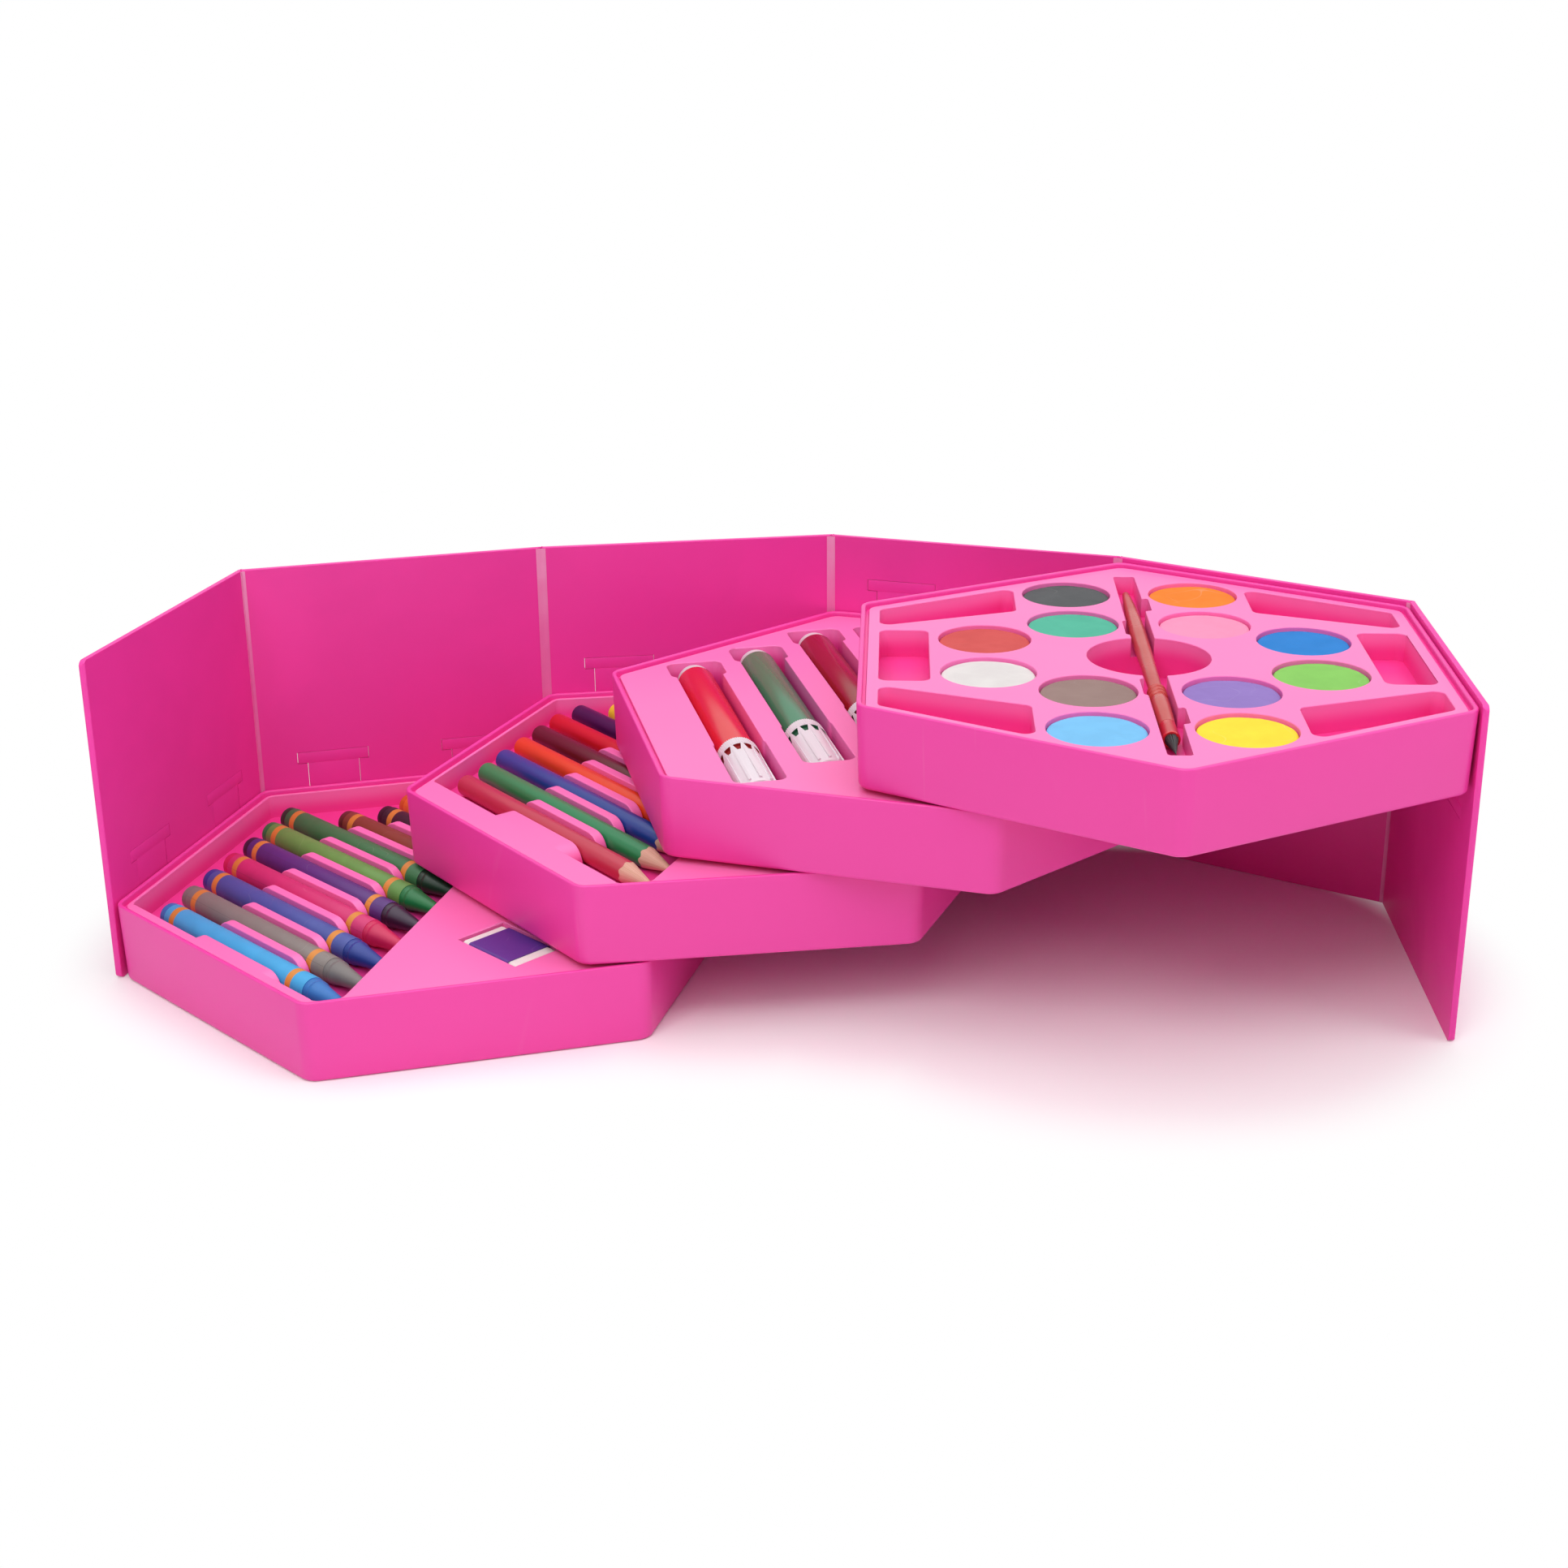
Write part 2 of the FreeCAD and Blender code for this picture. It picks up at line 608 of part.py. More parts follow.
def crayon_pockets(name, wall):
    """The crayons' bay, longer from the brown crayon on, and the pockets of the eraser and sharpener."""
    lanes = range(len(CRAYONS))
    far_lanes = lanes[CRAYONS.index("brown"):]
    near = bay(name + "_near", "crayon", lanes, "crayon_sleeve_radius", "crayon_bay_front", wall)
    return [round_corners(name + "_near_round", near, "bay_corner", wall),
            bay(name + "_far", "crayon", far_lanes, "crayon_sleeve_radius", "crayon_far_front", wall),
            pocket(name + "_eraser", "eraser", wall), pocket(name + "_sharpener", "sharpener", wall)]


def pencil_bay(name, wall):
    whole_bay = bay(name, "pencil", range(len(PENCILS)), "pencil_radius", "pencil_bay_front", wall)
    return [round_corners(name + "_round", whole_bay, "bay_corner", wall)]


insert("tray_insert_1", crayon_pockets("crayon_pocket", "0"),
       crayon_pockets("crayon_jacket", "insert_wall"),
       fins("crayon", "crayon", len(CRAYONS), "crayon_sleeve_radius"), 1)
insert("tray_insert_2", pencil_bay("pencil_bay", "0"), pencil_bay("pencil_jacket", "insert_wall"),
       fins("pencil", "pencil", len(PENCILS), "pencil_radius"), 2)


def marker_rear(step, ring):
    """Rear end of a felt pen: its slot keeps a gap to the slanting rear wall of the insert."""
    corner = "(2 * BAY_Y - %s * MARKER_PITCH - marker_thumb_width / 2) / sqrt(3)" % abs(step)
    return "(marker_gap_%s + marker_slot_end - %s)" % (ring, corner)


def marker_slot(name, step, ring, wall):
    """A felt pen's slot: a channel, wider for the thumb at the rear and for the cap at the front."""
    depth = "marker_slot_depth + %s" % wall
    rear = "%s - marker_slot_end - %s" % (marker_rear(step, ring), wall)
    front = "%s + MARKER_LENGTH + marker_slot_end + %s" % (marker_rear(step, ring), wall)
    channel = "2 * marker_barrel_radius + 2 * marker_slot_side"
    parts = (("channel", channel, "%s - (%s)" % (front, rear), rear),
             ("thumb", "marker_thumb_width", "marker_thumb_length + 2 * %s" % wall, rear),
             ("cap", "marker_cap_bay_width", "marker_cap_bay_length + 2 * %s" % wall,
              "%s - marker_cap_bay_length - 2 * %s" % (front, wall)))
    runs = []
    for part, width, length, start in parts:
        left = "%s * MARKER_PITCH - (%s) / 2 - %s" % (step, width, wall)
        size = (length, "%s + 2 * %s" % (width, wall), "%s + insert_drop" % depth)
        run = box("%s_%s" % (name, part), size, (start, left, "PLATE_Z - (%s)" % depth))
        runs.append(round_corners("%s_%s_round" % (name, part), run, "marker_slot_corner", wall))
    return runs


def marker_slots(name, wall):
    return [piece for number, (step, ring) in enumerate(MARKER_LANES)
            for piece in marker_slot("%s_%d" % (name, number), step, ring, wall)]


insert("tray_insert_3", marker_slots("marker_slot", "0"),
       marker_slots("marker_jacket", "insert_wall"), [], 3)


def cake_place(across, along):
    """A paint's place: columns beside the brush, spaced as circles that nest."""
    side = math.copysign(1, across)
    column = "%d * (CAKE_COLUMN + %d * CAKE_PITCH * sqrt(3) / 2)" % (side, abs(across) - 1)
    return ("%s * CAKE_PITCH" % along, column)


def corner_well(name, wall):
    """A mixing well along one side of the paint tray, wider towards the brush."""
    depth = "well_depth + %s" % wall
    height = "%s + insert_drop" % depth
    z = "PLATE_Z - (%s)" % depth
    edge = "INSERT_Y - well_rim + %s" % wall
    start = "well_half_length + well_web - %s" % wall
    inner = "well_inner - %s" % wall
    corner = ("(%s) * sqrt(3) / 2 - INSERT_Y" % edge, "-(%s) / 2 - INSERT_Y * sqrt(3)" % edge, z)
    within = box(name + "_within", ("4 * INSERT_Y", "2 * INSERT_Y", height), corner, SIXTH)
    slant_from = ("%s - INSERT_Y * sin(well_slant)" % start,
                  "well_rim - INSERT_Y - INSERT_Y * cos(well_slant)", z)
    beyond = box(name + "_beyond", ("2 * INSERT_Y", "3 * INSERT_Y", height), slant_from,
                 -value("well_slant"))
    bounds = box(name + "_bounds", ("2 * INSERT_Y", "%s - (%s)" % (edge, inner), height),
                 ("0", "-(%s)" % edge, z))
    trimmed = common(name + "_trimmed", [within, beyond, bounds])
    return round_corners(name, trimmed, "well_corner", wall)


def wells(name, wall):
    depth = "well_depth + %s" % wall
    front_left = corner_well(name + "_front_left", wall)
    rear_left = mirrored(name + "_rear_left", front_left, FreeCAD.Vector(1, 0, 0))
    size = ("2 * well_half_length + 2 * %s" % wall, "well_width + 2 * %s" % wall,
            "%s + insert_drop" % depth)
    left = box(name + "_left", size, ("-well_half_length - %s" % wall, "well_rim - INSERT_Y - %s" % wall,
                                      "PLATE_Z - (%s)" % depth))
    middle_left = round_corners(name + "_middle_left", left, "well_corner", wall)
    row = fuse(name + "_row", [front_left, rear_left, middle_left])
    return [row, mirrored(name + "_other_row", row, FreeCAD.Vector(0, 1, 0))]


def brush_slot(name, wall):
    """The brush's slot along the middle, with two finger notches on either side of the water cup."""
    depth = "brush_slot_depth + %s" % wall
    height = "%s + insert_drop" % depth
    z = "PLATE_Z - (%s)" % depth
    size = ("2 * brush_slot_half_length + 2 * %s" % wall, "brush_slot_width + 2 * %s" % wall, height)
    slot = box(name, size, ("-brush_slot_half_length - %s" % wall, "-brush_slot_width / 2 - %s" % wall, z))
    runs = [round_corners(name + "_round", slot, "notch_corner", wall)]
    for kind, edge in (("outer", "0"), ("inner", "-brush_slot_width / 2 - inner_notch_width")):
        size = ("%s_notch_length + 2 * %s" % (kind, wall),
                "brush_slot_width / 2 + %s_notch_width + 2 * %s" % (kind, wall), height)
        for end in (-1, 1):
            notch = "%s_%s_notch_%d" % (name, kind, end + 1)
            run = box(notch, size, ("%d * %s_notch_at - %s_notch_length / 2 - %s" % (end, kind, kind, wall),
                                    "%s - %s" % (edge, wall), z))
            runs.append(round_corners(notch + "_round", run, "notch_corner", wall))
    return runs


def paint_pockets(name, wall):
    pockets = wells(name + "_well", wall) + brush_slot(name + "_slot", wall)
    round_ones = {"water": ("water_cup_radius", "water_cup_depth", ("0", "0"))}
    for paint, (along, across) in PAINTS.items():
        round_ones[paint] = ("CAKE_RADIUS + cake_fit", "cake_cup_depth", cake_place(across, along))
    for cup, (radius, depth, place) in round_ones.items():
        pockets.append(upright("%s_%s" % (name, cup), "%s + %s" % (radius, wall),
                               "%s + %s + insert_drop" % (depth, wall),
                               place + ("PLATE_Z - %s - %s" % (depth, wall),)))
    return pockets


insert("tray_insert_4", paint_pockets("paint_pocket", "0"),
       paint_pockets("paint_jacket", "insert_wall"), [], 4)


# Crayons and pencils

def on_floor(depth, radius):
    return "PLATE_Z - %s + %s + rest_gap" % (depth, radius)


def stick_start(name, kind, number):
    return "%s + %s" % (rear_end(kind, number), SLIDES.get(name, "0"))


for number, colour in enumerate(CRAYONS):
    name = "crayon_%02d_%s" % (number + 1, colour)
    sections = (("crayon_butt", "crayon_wax_radius", "crayon_wax_radius"),
                ("CRAYON_SLEEVE", "crayon_sleeve_radius", "crayon_sleeve_radius"),
                ("crayon_shoulder", "crayon_wax_radius", "crayon_wax_radius"),
                ("crayon_tip", "crayon_neck_radius", "crayon_tip_radius"))
    place = (stick_start(name, "crayon", number), lane("crayon", number),
             on_floor("crayon_bay_depth", "crayon_sleeve_radius"))
    keep(stick(name, sections, place), name, 1, LANE_HEADING)

for number, colour in enumerate(PENCILS):
    name = "pencil_%02d_%s" % (number + 1, colour)
    sections = (("PENCIL_BARREL", "pencil_radius", "pencil_radius"),
                ("pencil_cone", "pencil_radius", "pencil_lead_radius"),
                ("pencil_lead", "pencil_lead_radius", "pencil_point_radius"))
    place = (stick_start(name, "pencil", number), lane("pencil", number),
             on_floor("pencil_bay_depth", "pencil_radius"))
    keep(stick(name, sections, place), name, 2, LANE_HEADING)


# Eraser in its card sleeve, and the sharpener with its blade and screw

def centred(name, kind, size, z):
    """A block over the middle of a loose piece's pocket."""
    along = "%s_ALONG - (%s) / 2" % (kind.upper(), size[0])
    across = "%s_across - (%s) / 2" % (kind, size[1])
    return box(name, size, (along, across, z))


def along_x(edge):
    return edge.YLength < TOUCH and edge.ZLength < TOUCH


SLEEVE = "eraser_sleeve_wall + eraser_sleeve_fit"
eraser_z = "PLATE_Z - eraser_pocket_depth + %s + rest_gap" % SLEEVE
rubber = centred("eraser_rubber", "eraser", ("eraser_length", "eraser_width", "eraser_height"), eraser_z)
keep(rounded("eraser", rubber, along_x, "eraser_round"), "eraser", 1, LANE_HEADING)

card_size = ("eraser_sleeve_length", "eraser_width + 2 * (%s)" % SLEEVE,
             "eraser_height + 2 * (%s)" % SLEEVE)
card = centred("eraser_card", "eraser", card_size, "%s - (%s)" % (eraser_z, SLEEVE))
card_room = centred("eraser_card_room", "eraser",
                    ("2 * eraser_sleeve_length", "eraser_width + 2 * eraser_sleeve_fit",
                     "eraser_height + 2 * eraser_sleeve_fit"), "%s - eraser_sleeve_fit" % eraser_z)
keep(cut("eraser_sleeve", rounded("eraser_card_round", card, along_x, "eraser_round"), [card_room]),
     "eraser_sleeve", 1, LANE_HEADING)

sharpener_z = "PLATE_Z - sharpener_pocket_depth + rest_gap"
blade_z = "%s + sharpener_height" % sharpener_z
block = centred("sharpener_block", "sharpener",
                ("sharpener_length", "sharpener_width", "sharpener_height"), sharpener_z)
bore = primitive("Part::Cone", "sharpener_bore",
                 ("SHARPENER_ALONG - sharpener_length / 2", "sharpener_across",
                  "%s + sharpener_height / 2" % sharpener_z),
                 FreeCAD.Rotation(FreeCAD.Vector(0, 1, 0), 90), Height="sharpener_bore_depth",
                 Radius1="sharpener_bore_radius", Radius2="pencil_point_radius")
window = box("sharpener_window", ("sharpener_bore_depth", "sharpener_window_width", "sharpener_height"),
             ("SHARPENER_ALONG - sharpener_length / 2", "sharpener_across + blade_width / 2",
              "%s + sharpener_height / 2" % sharpener_z))
keep(cut("sharpener_body", rounded("sharpener_rounded", block, along_x, "sharpener_round"), [bore, window]),
     "sharpener_body", 1, LANE_HEADING)

blade = centred("sharpener_blade_plate", "sharpener",
                ("blade_length", "blade_width", "blade_thick"), blade_z)
screw = upright("sharpener_screw", "blade_screw_radius", "blade_screw_height",
                ("SHARPENER_ALONG", "sharpener_across", "%s + blade_thick" % blade_z))
steel = doc.addObject("Part::Compound", "sharpener_steel")
steel.Links = [blade, screw]
keep(steel, "sharpener_blade", 1, LANE_HEADING)


# Felt pens: a white plug and cap on a coloured barrel, six of each

def marker_pieces(number, step, ring):
    """The plug, barrel and cap of one pen, end to end; the barrel's snout and nib lie in the cap's bore."""
    across = "%s * MARKER_PITCH" % step
    level = on_floor("marker_slot_depth", "marker_cap_radius")
    rear = marker_rear(step, ring)
    name = "marker_%d" % (number + 1)
    half_plug = "marker_plug / 2"
    plug = stick(name + "_plug",
                 ((half_plug, "marker_plug_radius - marker_cap_fit", "marker_plug_radius"),
                  (half_plug, "marker_plug_radius", "marker_plug_radius")), (rear, across, level))
    barrel = stick(name + "_barrel", (("marker_barrel", "marker_barrel_radius", "marker_barrel_radius"),
                                      ("marker_snout", "marker_snout_radius", "marker_snout_radius"),
                                      ("marker_nib", "marker_nib_radius", "marker_nib_radius")),
                   ("%s + marker_plug" % rear, across, level))
    mouth = "%s + marker_plug + marker_barrel" % rear
    half_cap = "marker_cap / 2"
    cap = stick(name + "_cap_outside", ((half_cap, "marker_cap_radius", "marker_cap_radius"),
                                        (half_cap, "marker_cap_radius", "marker_cap_end_radius")),
                (mouth, across, level))
    bore_radius = "marker_snout_radius + marker_cap_fit"
    hollow = stick(name + "_cap_bore", (("marker_snout", bore_radius, bore_radius),
                                        ("marker_cap_bore - marker_snout", bore_radius,
                                         "marker_nib_radius + marker_cap_fit")), (mouth, across, level))
    return plug, barrel, cut(name + "_cap", cap, [hollow])


marker_sets = [marker_pieces(number, step, ring) for number, (step, ring) in enumerate(MARKER_LANES)]
for label, group in zip(("marker_plugs", "marker_barrels", "marker_caps"), zip(*marker_sets)):
    row = doc.addObject("Part::Compound", label)
    row.Links = list(group)
    keep(row, label, 3, LANE_HEADING)


# Paint cakes and the brush

for paint, (along, across) in PAINTS.items():
    name = "paint_%s" % paint
    disc = upright(name + "_disc", "CAKE_RADIUS", "cake_height",
                   cake_place(across, along) + ("PLATE_Z - cake_cup_depth + rest_gap",))
    doc.recompute()
    top = disc.Shape.BoundBox.ZMax
    keep(rounded(name, disc, lambda edge: edge.ZMin > top - TOUCH, "cake_edge"), name, 4, LANE_HEADING)

brush_z = on_floor("brush_slot_depth", "brush_ring_radius")
ring = ("brush_ring", "brush_ring_radius", "brush_ring_radius")
neck = ("brush_ring_gap", "brush_waist_radius", "brush_waist_radius")
handle = (("brush_swell", "brush_tail_radius", "brush_swell_radius"),
          ("BRUSH_WAIST", "brush_swell_radius", "brush_waist_radius"),
          ring, neck, ring, neck, ring,
          ("brush_grip", "brush_grip_radius", "brush_ferrule_radius"))
half_ferrule = "brush_ferrule / 2"
half_tuft = "brush_tuft / 2"
keep(stick("brush_handle", handle, ("-BRUSH_TAIL", "0", brush_z)), "brush_handle", 4, LANE_HEADING)
keep(stick("brush_ferrule_band", ((half_ferrule, "brush_ferrule_radius", "brush_ferrule_radius"),
                                  (half_ferrule, "brush_ferrule_radius", "brush_tuft_radius")),
           ("FERRULE_X", "0", brush_z)), "brush_ferrule", 4, LANE_HEADING)
keep(stick("brush_bristles", ((half_tuft, "brush_tuft_radius", "brush_tuft_radius"),
                              (half_tuft, "brush_tuft_radius", "brush_tuft_end_radius")),
           ("FERRULE_X + brush_ferrule", "0", brush_z)), "brush_bristles", 4, LANE_HEADING)


# Check every object, then write each sub-part

doc.recompute()
for obj in doc.Objects:
    if "Invalid" in obj.State or "Error" in obj.State:
        raise RuntimeError("%s failed: %s" % (obj.Name, obj.State))
os.makedirs("parts", exist_ok=True)
for obj in SUBPARTS:
    if obj.Shape.isNull() or not obj.Shape.isValid():
        raise RuntimeError("%s has no valid shape" % obj.Label)
for obj in SUBPARTS:
    obj.Shape.exportStep("parts/%s.step" % obj.Label)
print("%d sub-parts" % len(SUBPARTS))
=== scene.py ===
# %% [markdown]
# # Dressing a fold-out art box
# The box is a fan: six wall panels on upright hinges carry four six-sided trays, one above the
# other, filled with crayons, pencils, felt pens and paints. The engineering model arrives as a
# frame of plain solids. This lesson keeps every piece in its place and gives it the soft edges,
# prints and surfaces that the real plastic, paper, wax and paint have.

# %% Load the frame
import json
import math
import random

import bmesh
import bpy
import numpy as np
from mathutils import Matrix, Vector, noise


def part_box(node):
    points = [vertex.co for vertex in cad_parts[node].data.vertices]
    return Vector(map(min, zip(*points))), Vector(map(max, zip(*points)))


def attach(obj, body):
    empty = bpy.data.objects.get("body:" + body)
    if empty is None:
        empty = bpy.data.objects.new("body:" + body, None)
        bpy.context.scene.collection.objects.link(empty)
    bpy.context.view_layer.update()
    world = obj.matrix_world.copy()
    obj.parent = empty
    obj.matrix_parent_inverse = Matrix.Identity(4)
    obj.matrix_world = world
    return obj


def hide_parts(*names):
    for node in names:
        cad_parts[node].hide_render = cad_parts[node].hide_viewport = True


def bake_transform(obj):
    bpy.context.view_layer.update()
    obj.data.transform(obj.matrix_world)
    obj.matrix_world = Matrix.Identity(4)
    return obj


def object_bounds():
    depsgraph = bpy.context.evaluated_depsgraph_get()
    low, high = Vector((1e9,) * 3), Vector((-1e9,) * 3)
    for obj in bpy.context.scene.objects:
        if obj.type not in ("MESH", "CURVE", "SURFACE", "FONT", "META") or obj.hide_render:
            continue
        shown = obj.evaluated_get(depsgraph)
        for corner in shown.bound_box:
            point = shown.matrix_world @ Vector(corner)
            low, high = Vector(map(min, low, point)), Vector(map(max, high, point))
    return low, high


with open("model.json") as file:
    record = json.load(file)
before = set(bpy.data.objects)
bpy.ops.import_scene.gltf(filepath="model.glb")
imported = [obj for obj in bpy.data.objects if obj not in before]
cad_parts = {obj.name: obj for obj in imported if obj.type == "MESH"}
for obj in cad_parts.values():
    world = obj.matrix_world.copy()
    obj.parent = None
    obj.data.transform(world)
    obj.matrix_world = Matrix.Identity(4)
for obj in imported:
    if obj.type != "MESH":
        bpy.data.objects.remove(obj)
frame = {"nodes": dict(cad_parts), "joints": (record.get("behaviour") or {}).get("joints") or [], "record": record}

CAD_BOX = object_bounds()
MM = 0.001
NODES = frame["nodes"]
BODY_OF = {node: body for body, nodes in frame["record"]["behaviour"]["bodies"].items() for node in nodes}

# %% [markdown]
# ## Where each tier stands
# Every tray is drawn round its own centre, with its back panel towards +Y, and then swung about
# its hinge. The frame's joints say where the hinges are and how far each is turned from a flat
# strip, so the four placements follow from them and no number has to be copied. The sticks in
# all trays lie along the same diagonal of the hexagon, which gets a placement of its own.

# %% Tier placements
HINGES = [joint for joint in frame["joints"] if joint["type"] == "hinge"]
SIXTH = math.radians(60)
PITCH = (Vector(HINGES[1]["pos_m"]) - Vector(HINGES[0]["pos_m"])).length
AXIS_Y = PITCH * math.sqrt(3) / 2


def corners(node):
    """The corners of a node's mesh as an array of points in metres."""
    points = np.empty(len(NODES[node].data.vertices) * 3)
    NODES[node].data.vertices.foreach_get("co", points)
    return points.reshape(-1, 3)


TIER_PITCH = corners("tray_insert_2")[:, 2].min() - corners("tray_insert_1")[:, 2].min()


def tier_placements():
    """One matrix for each tray, from the lowest up."""
    places = [Matrix.Identity(4)]
    heading = 0.0
    for level, hinge in enumerate(HINGES, start=1):
        heading += math.radians(hinge["range_deg"][0])
        turn = Matrix.Rotation(heading, 4, "Z")
        centre = Vector(hinge["pos_m"]) - turn @ Vector((-PITCH / 2, AXIS_Y, 0))
        centre.z = level * TIER_PITCH
        places.append(Matrix.Translation(centre) @ turn)
    return places


TIERS = tier_placements()
LANES = [tier @ Matrix.Rotation(-SIXTH, 4, "Z") for tier in TIERS]


def in_lanes(node, lanes):
    """A node's corners as seen from its tray's lanes, where X runs along the sticks."""
    back = np.array(lanes.inverted())
    return corners(node) @ back[:3, :3].T + back[:3, 3]


def lane_length(node, lanes):
    """How long a stick is, in millimetres."""
    return float(np.ptp(in_lanes(node, lanes)[:, 0])) / MM


def lane_place(node, lanes):
    """Where a stick modelled along +X from its butt has to go so that it lies where the node does."""
    local = in_lanes(node, lanes)
    low = local.min(axis=0)
    high = local.max(axis=0)
    start = Vector((low[0], (low[1] + high[1]) / 2, (low[2] + high[2]) / 2))
    return lanes @ Matrix.Translation(start)


print("panel pitch %.1f mm, tier pitch %.1f mm" % (PITCH / MM, TIER_PITCH / MM))

# %% [markdown]
# ## Turning meshes into pieces
# Three kinds of shape come back again and again: turned sticks, soft-edged copies of the
# engineering solids, and small rounded blocks. Each has one helper here. The copies are merged
# first, because the frame's meshes are loose triangles, and then a bevel with hardened normals
# rounds the edges, which is what catches the light on moulded plastic.

# %% Showing a mesh as a piece
def piece(name, mesh, finishes, node, *more_nodes):
    """Shows a mesh in place of CAD nodes, on the body that carries them, in the given finishes."""
    shown = bpy.data.objects.new(name, mesh)
    bpy.context.scene.collection.objects.link(shown)
    if not mesh.materials:
        for finish in finishes:
            mesh.materials.append(finish)
    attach(shown, BODY_OF[node])
    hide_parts(node, *more_nodes)
    return shown


def as_mesh(name, form, sharp=35):
    """Turns an edit mesh into a mesh with smooth shading that breaks at sharp edges."""
    mesh = bpy.data.meshes.new(name)
    form.to_mesh(mesh)
    form.free()
    mesh.polygons.foreach_set("use_smooth", [True] * len(mesh.polygons))
    mesh.set_sharp_from_angle(angle=math.radians(sharp))
    return mesh


def evaluated(shown):
    """The mesh that an object's modifiers give, as plain data."""
    bpy.context.view_layer.update()
    view = bpy.context.evaluated_depsgraph_get()
    return bpy.data.meshes.new_from_object(shown.evaluated_get(view), depsgraph=view)


print("helpers ready: piece, as_mesh, evaluated")


# %% Soft-edged copies of the solids
FLAT_ANGLE = 0.5         # triangles that meet at less than this many degrees are one flat face
RIDGE_ANGLE = 40


def merged_copy(node):
    """An edit mesh of a node with its loose triangles joined into flat faces."""
    form = bmesh.new()
    source = NODES[node].data
    points = [form.verts.new(corner.co) for corner in source.vertices]
    for face in source.polygons:
        form.faces.new([points[index] for index in face.vertices])
    bmesh.ops.remove_doubles(form, verts=form.verts, dist=1e-6)
    bmesh.ops.dissolve_limit(form, angle_limit=math.radians(FLAT_ANGLE), verts=form.verts, edges=form.edges)
    return form


def softened(name, node, width, rounds_edge, segments=3, trim=None):
    """A merged copy of a node, trimmed first where a trim is given, whose chosen edges are rounded
    over the given width in millimetres."""
    form = merged_copy(node)
    if trim:
        trim(form)
    weight = form.edges.layers.float.new("bevel_weight_edge")
    chosen = 0
    for edge in form.edges:
        if len(edge.link_faces) == 2 and rounds_edge(edge):
            edge[weight] = 1.0
            chosen += 1
    mesh = as_mesh(name, form)
    draft = bpy.data.objects.new(name + "_draft", mesh)
    bpy.context.scene.collection.objects.link(draft)
    soft = draft.modifiers.new("soft_edges", "BEVEL")
    soft.limit_method = "WEIGHT"
    soft.width = width * MM
    soft.segments = segments
    soft.use_clamp_overlap = False
    soft.harden_normals = True
    result = evaluated(draft)
    result.name = name
    bpy.data.objects.remove(draft)
    print("%s: %d edges rounded" % (name, chosen))
    return result


def sharp_ridge(edge):
    """True for an outer edge, where two faces meet at more than the ridge angle."""
    return edge.is_convex and edge.calc_face_angle(0.0) > math.radians(RIDGE_ANGLE)


print("helpers ready: merged_copy, softened, sharp_ridge")


# %% Turned sticks and rounded blocks
def turned(profile, sides=48):
    """A turned shape along +X. Each profile row is its place along the axis and its radius in
    millimetres, and the number of the finish that the stretch after it takes. The UV map runs
    once round the shape and once along it."""
    form = bmesh.new()
    wrap = form.loops.layers.uv.new("UVMap")
    start = profile[0][0]
    length = profile[-1][0] - start
    rings = []
    for along, radius, _ in profile:
        ring = []
        for step in range(sides):
            angle = 2 * math.pi * step / sides
            place = Vector((along, radius * math.cos(angle), radius * math.sin(angle)))
            ring.append(form.verts.new(place * MM))
        rings.append(ring)
    for level, (near, far) in enumerate(zip(rings, rings[1:])):
        ends = [(row[0] - start) / length for row in profile[level:level + 2]]
        for step in range(sides):
            after = (step + 1) % sides
            face = form.faces.new((near[step], near[after], far[after], far[step]))
            face.material_index = profile[level][2]
            for loop, (side, end) in zip(face.loops, ((0, 0), (1, 0), (1, 1), (0, 1))):
                loop[wrap].uv = ((step + side) / sides, ends[end])
    for ring, finish, level in ((rings[0][::-1], profile[0][2], 0.0), (rings[-1], profile[-1][2], 1.0)):
        cap = form.faces.new(ring)
        cap.material_index = finish
        for loop in cap.loops:
            loop[wrap].uv = (0.5, level)
    bmesh.ops.remove_doubles(form, verts=form.verts, dist=1e-7)
    return form


def joined(name, meshes):
    """Several meshes as one. Material numbers are kept."""
    form = bmesh.new()
    for mesh in meshes:
        form.from_mesh(mesh)
    return as_mesh(name, form)


def block(form, low, high, edge):
    """Adds a block with rounded edges between two corners, all in millimetres."""
    made = bmesh.ops.create_cube(form, size=1.0)
    size = Vector(high) - Vector(low)
    middle = (Vector(high) + Vector(low)) / 2
    place = Matrix.Translation(middle * MM) @ Matrix.Diagonal((*(size * MM), 1.0))
    bmesh.ops.transform(form, matrix=place, verts=made["verts"])
    edges = list({line for corner in made["verts"] for line in corner.link_edges})
    bmesh.ops.bevel(form, geom=edges, offset=edge * MM, segments=3, profile=0.5, affect="EDGES")


print("helpers ready: turned, joined, block")

# %% [markdown]
# ## Colours and shared surface effects
# Colours are written as they look on screen and turned into the linear values that shaders take.
# Two effects are used by many finishes, so each is a node group with named sockets: the cloudy
# tone and fine grain of a moulded or waxy skin, and the pale scuffs that handling leaves. The
# groups put out colours and values only, and each finish keeps its own shader.

# %% Colours
def screen(red, green, blue):
    """A screen colour from 0 to 255 as a linear colour with alpha."""
    levels = []
    for level in (red / 255, green / 255, blue / 255):
        levels.append(level / 12.92 if level <= 0.04045 else ((level + 0.055) / 1.055) ** 2.4)
    return (*levels, 1.0)


print("white is", screen(255, 255, 255))


# %% Node helpers
def feed(tree, source, socket):
    """Gives a socket a number or a colour, or links another socket to it."""
    if isinstance(source, (int, float, tuple)):
        socket.default_value = source
    else:
        tree.links.new(source, socket)


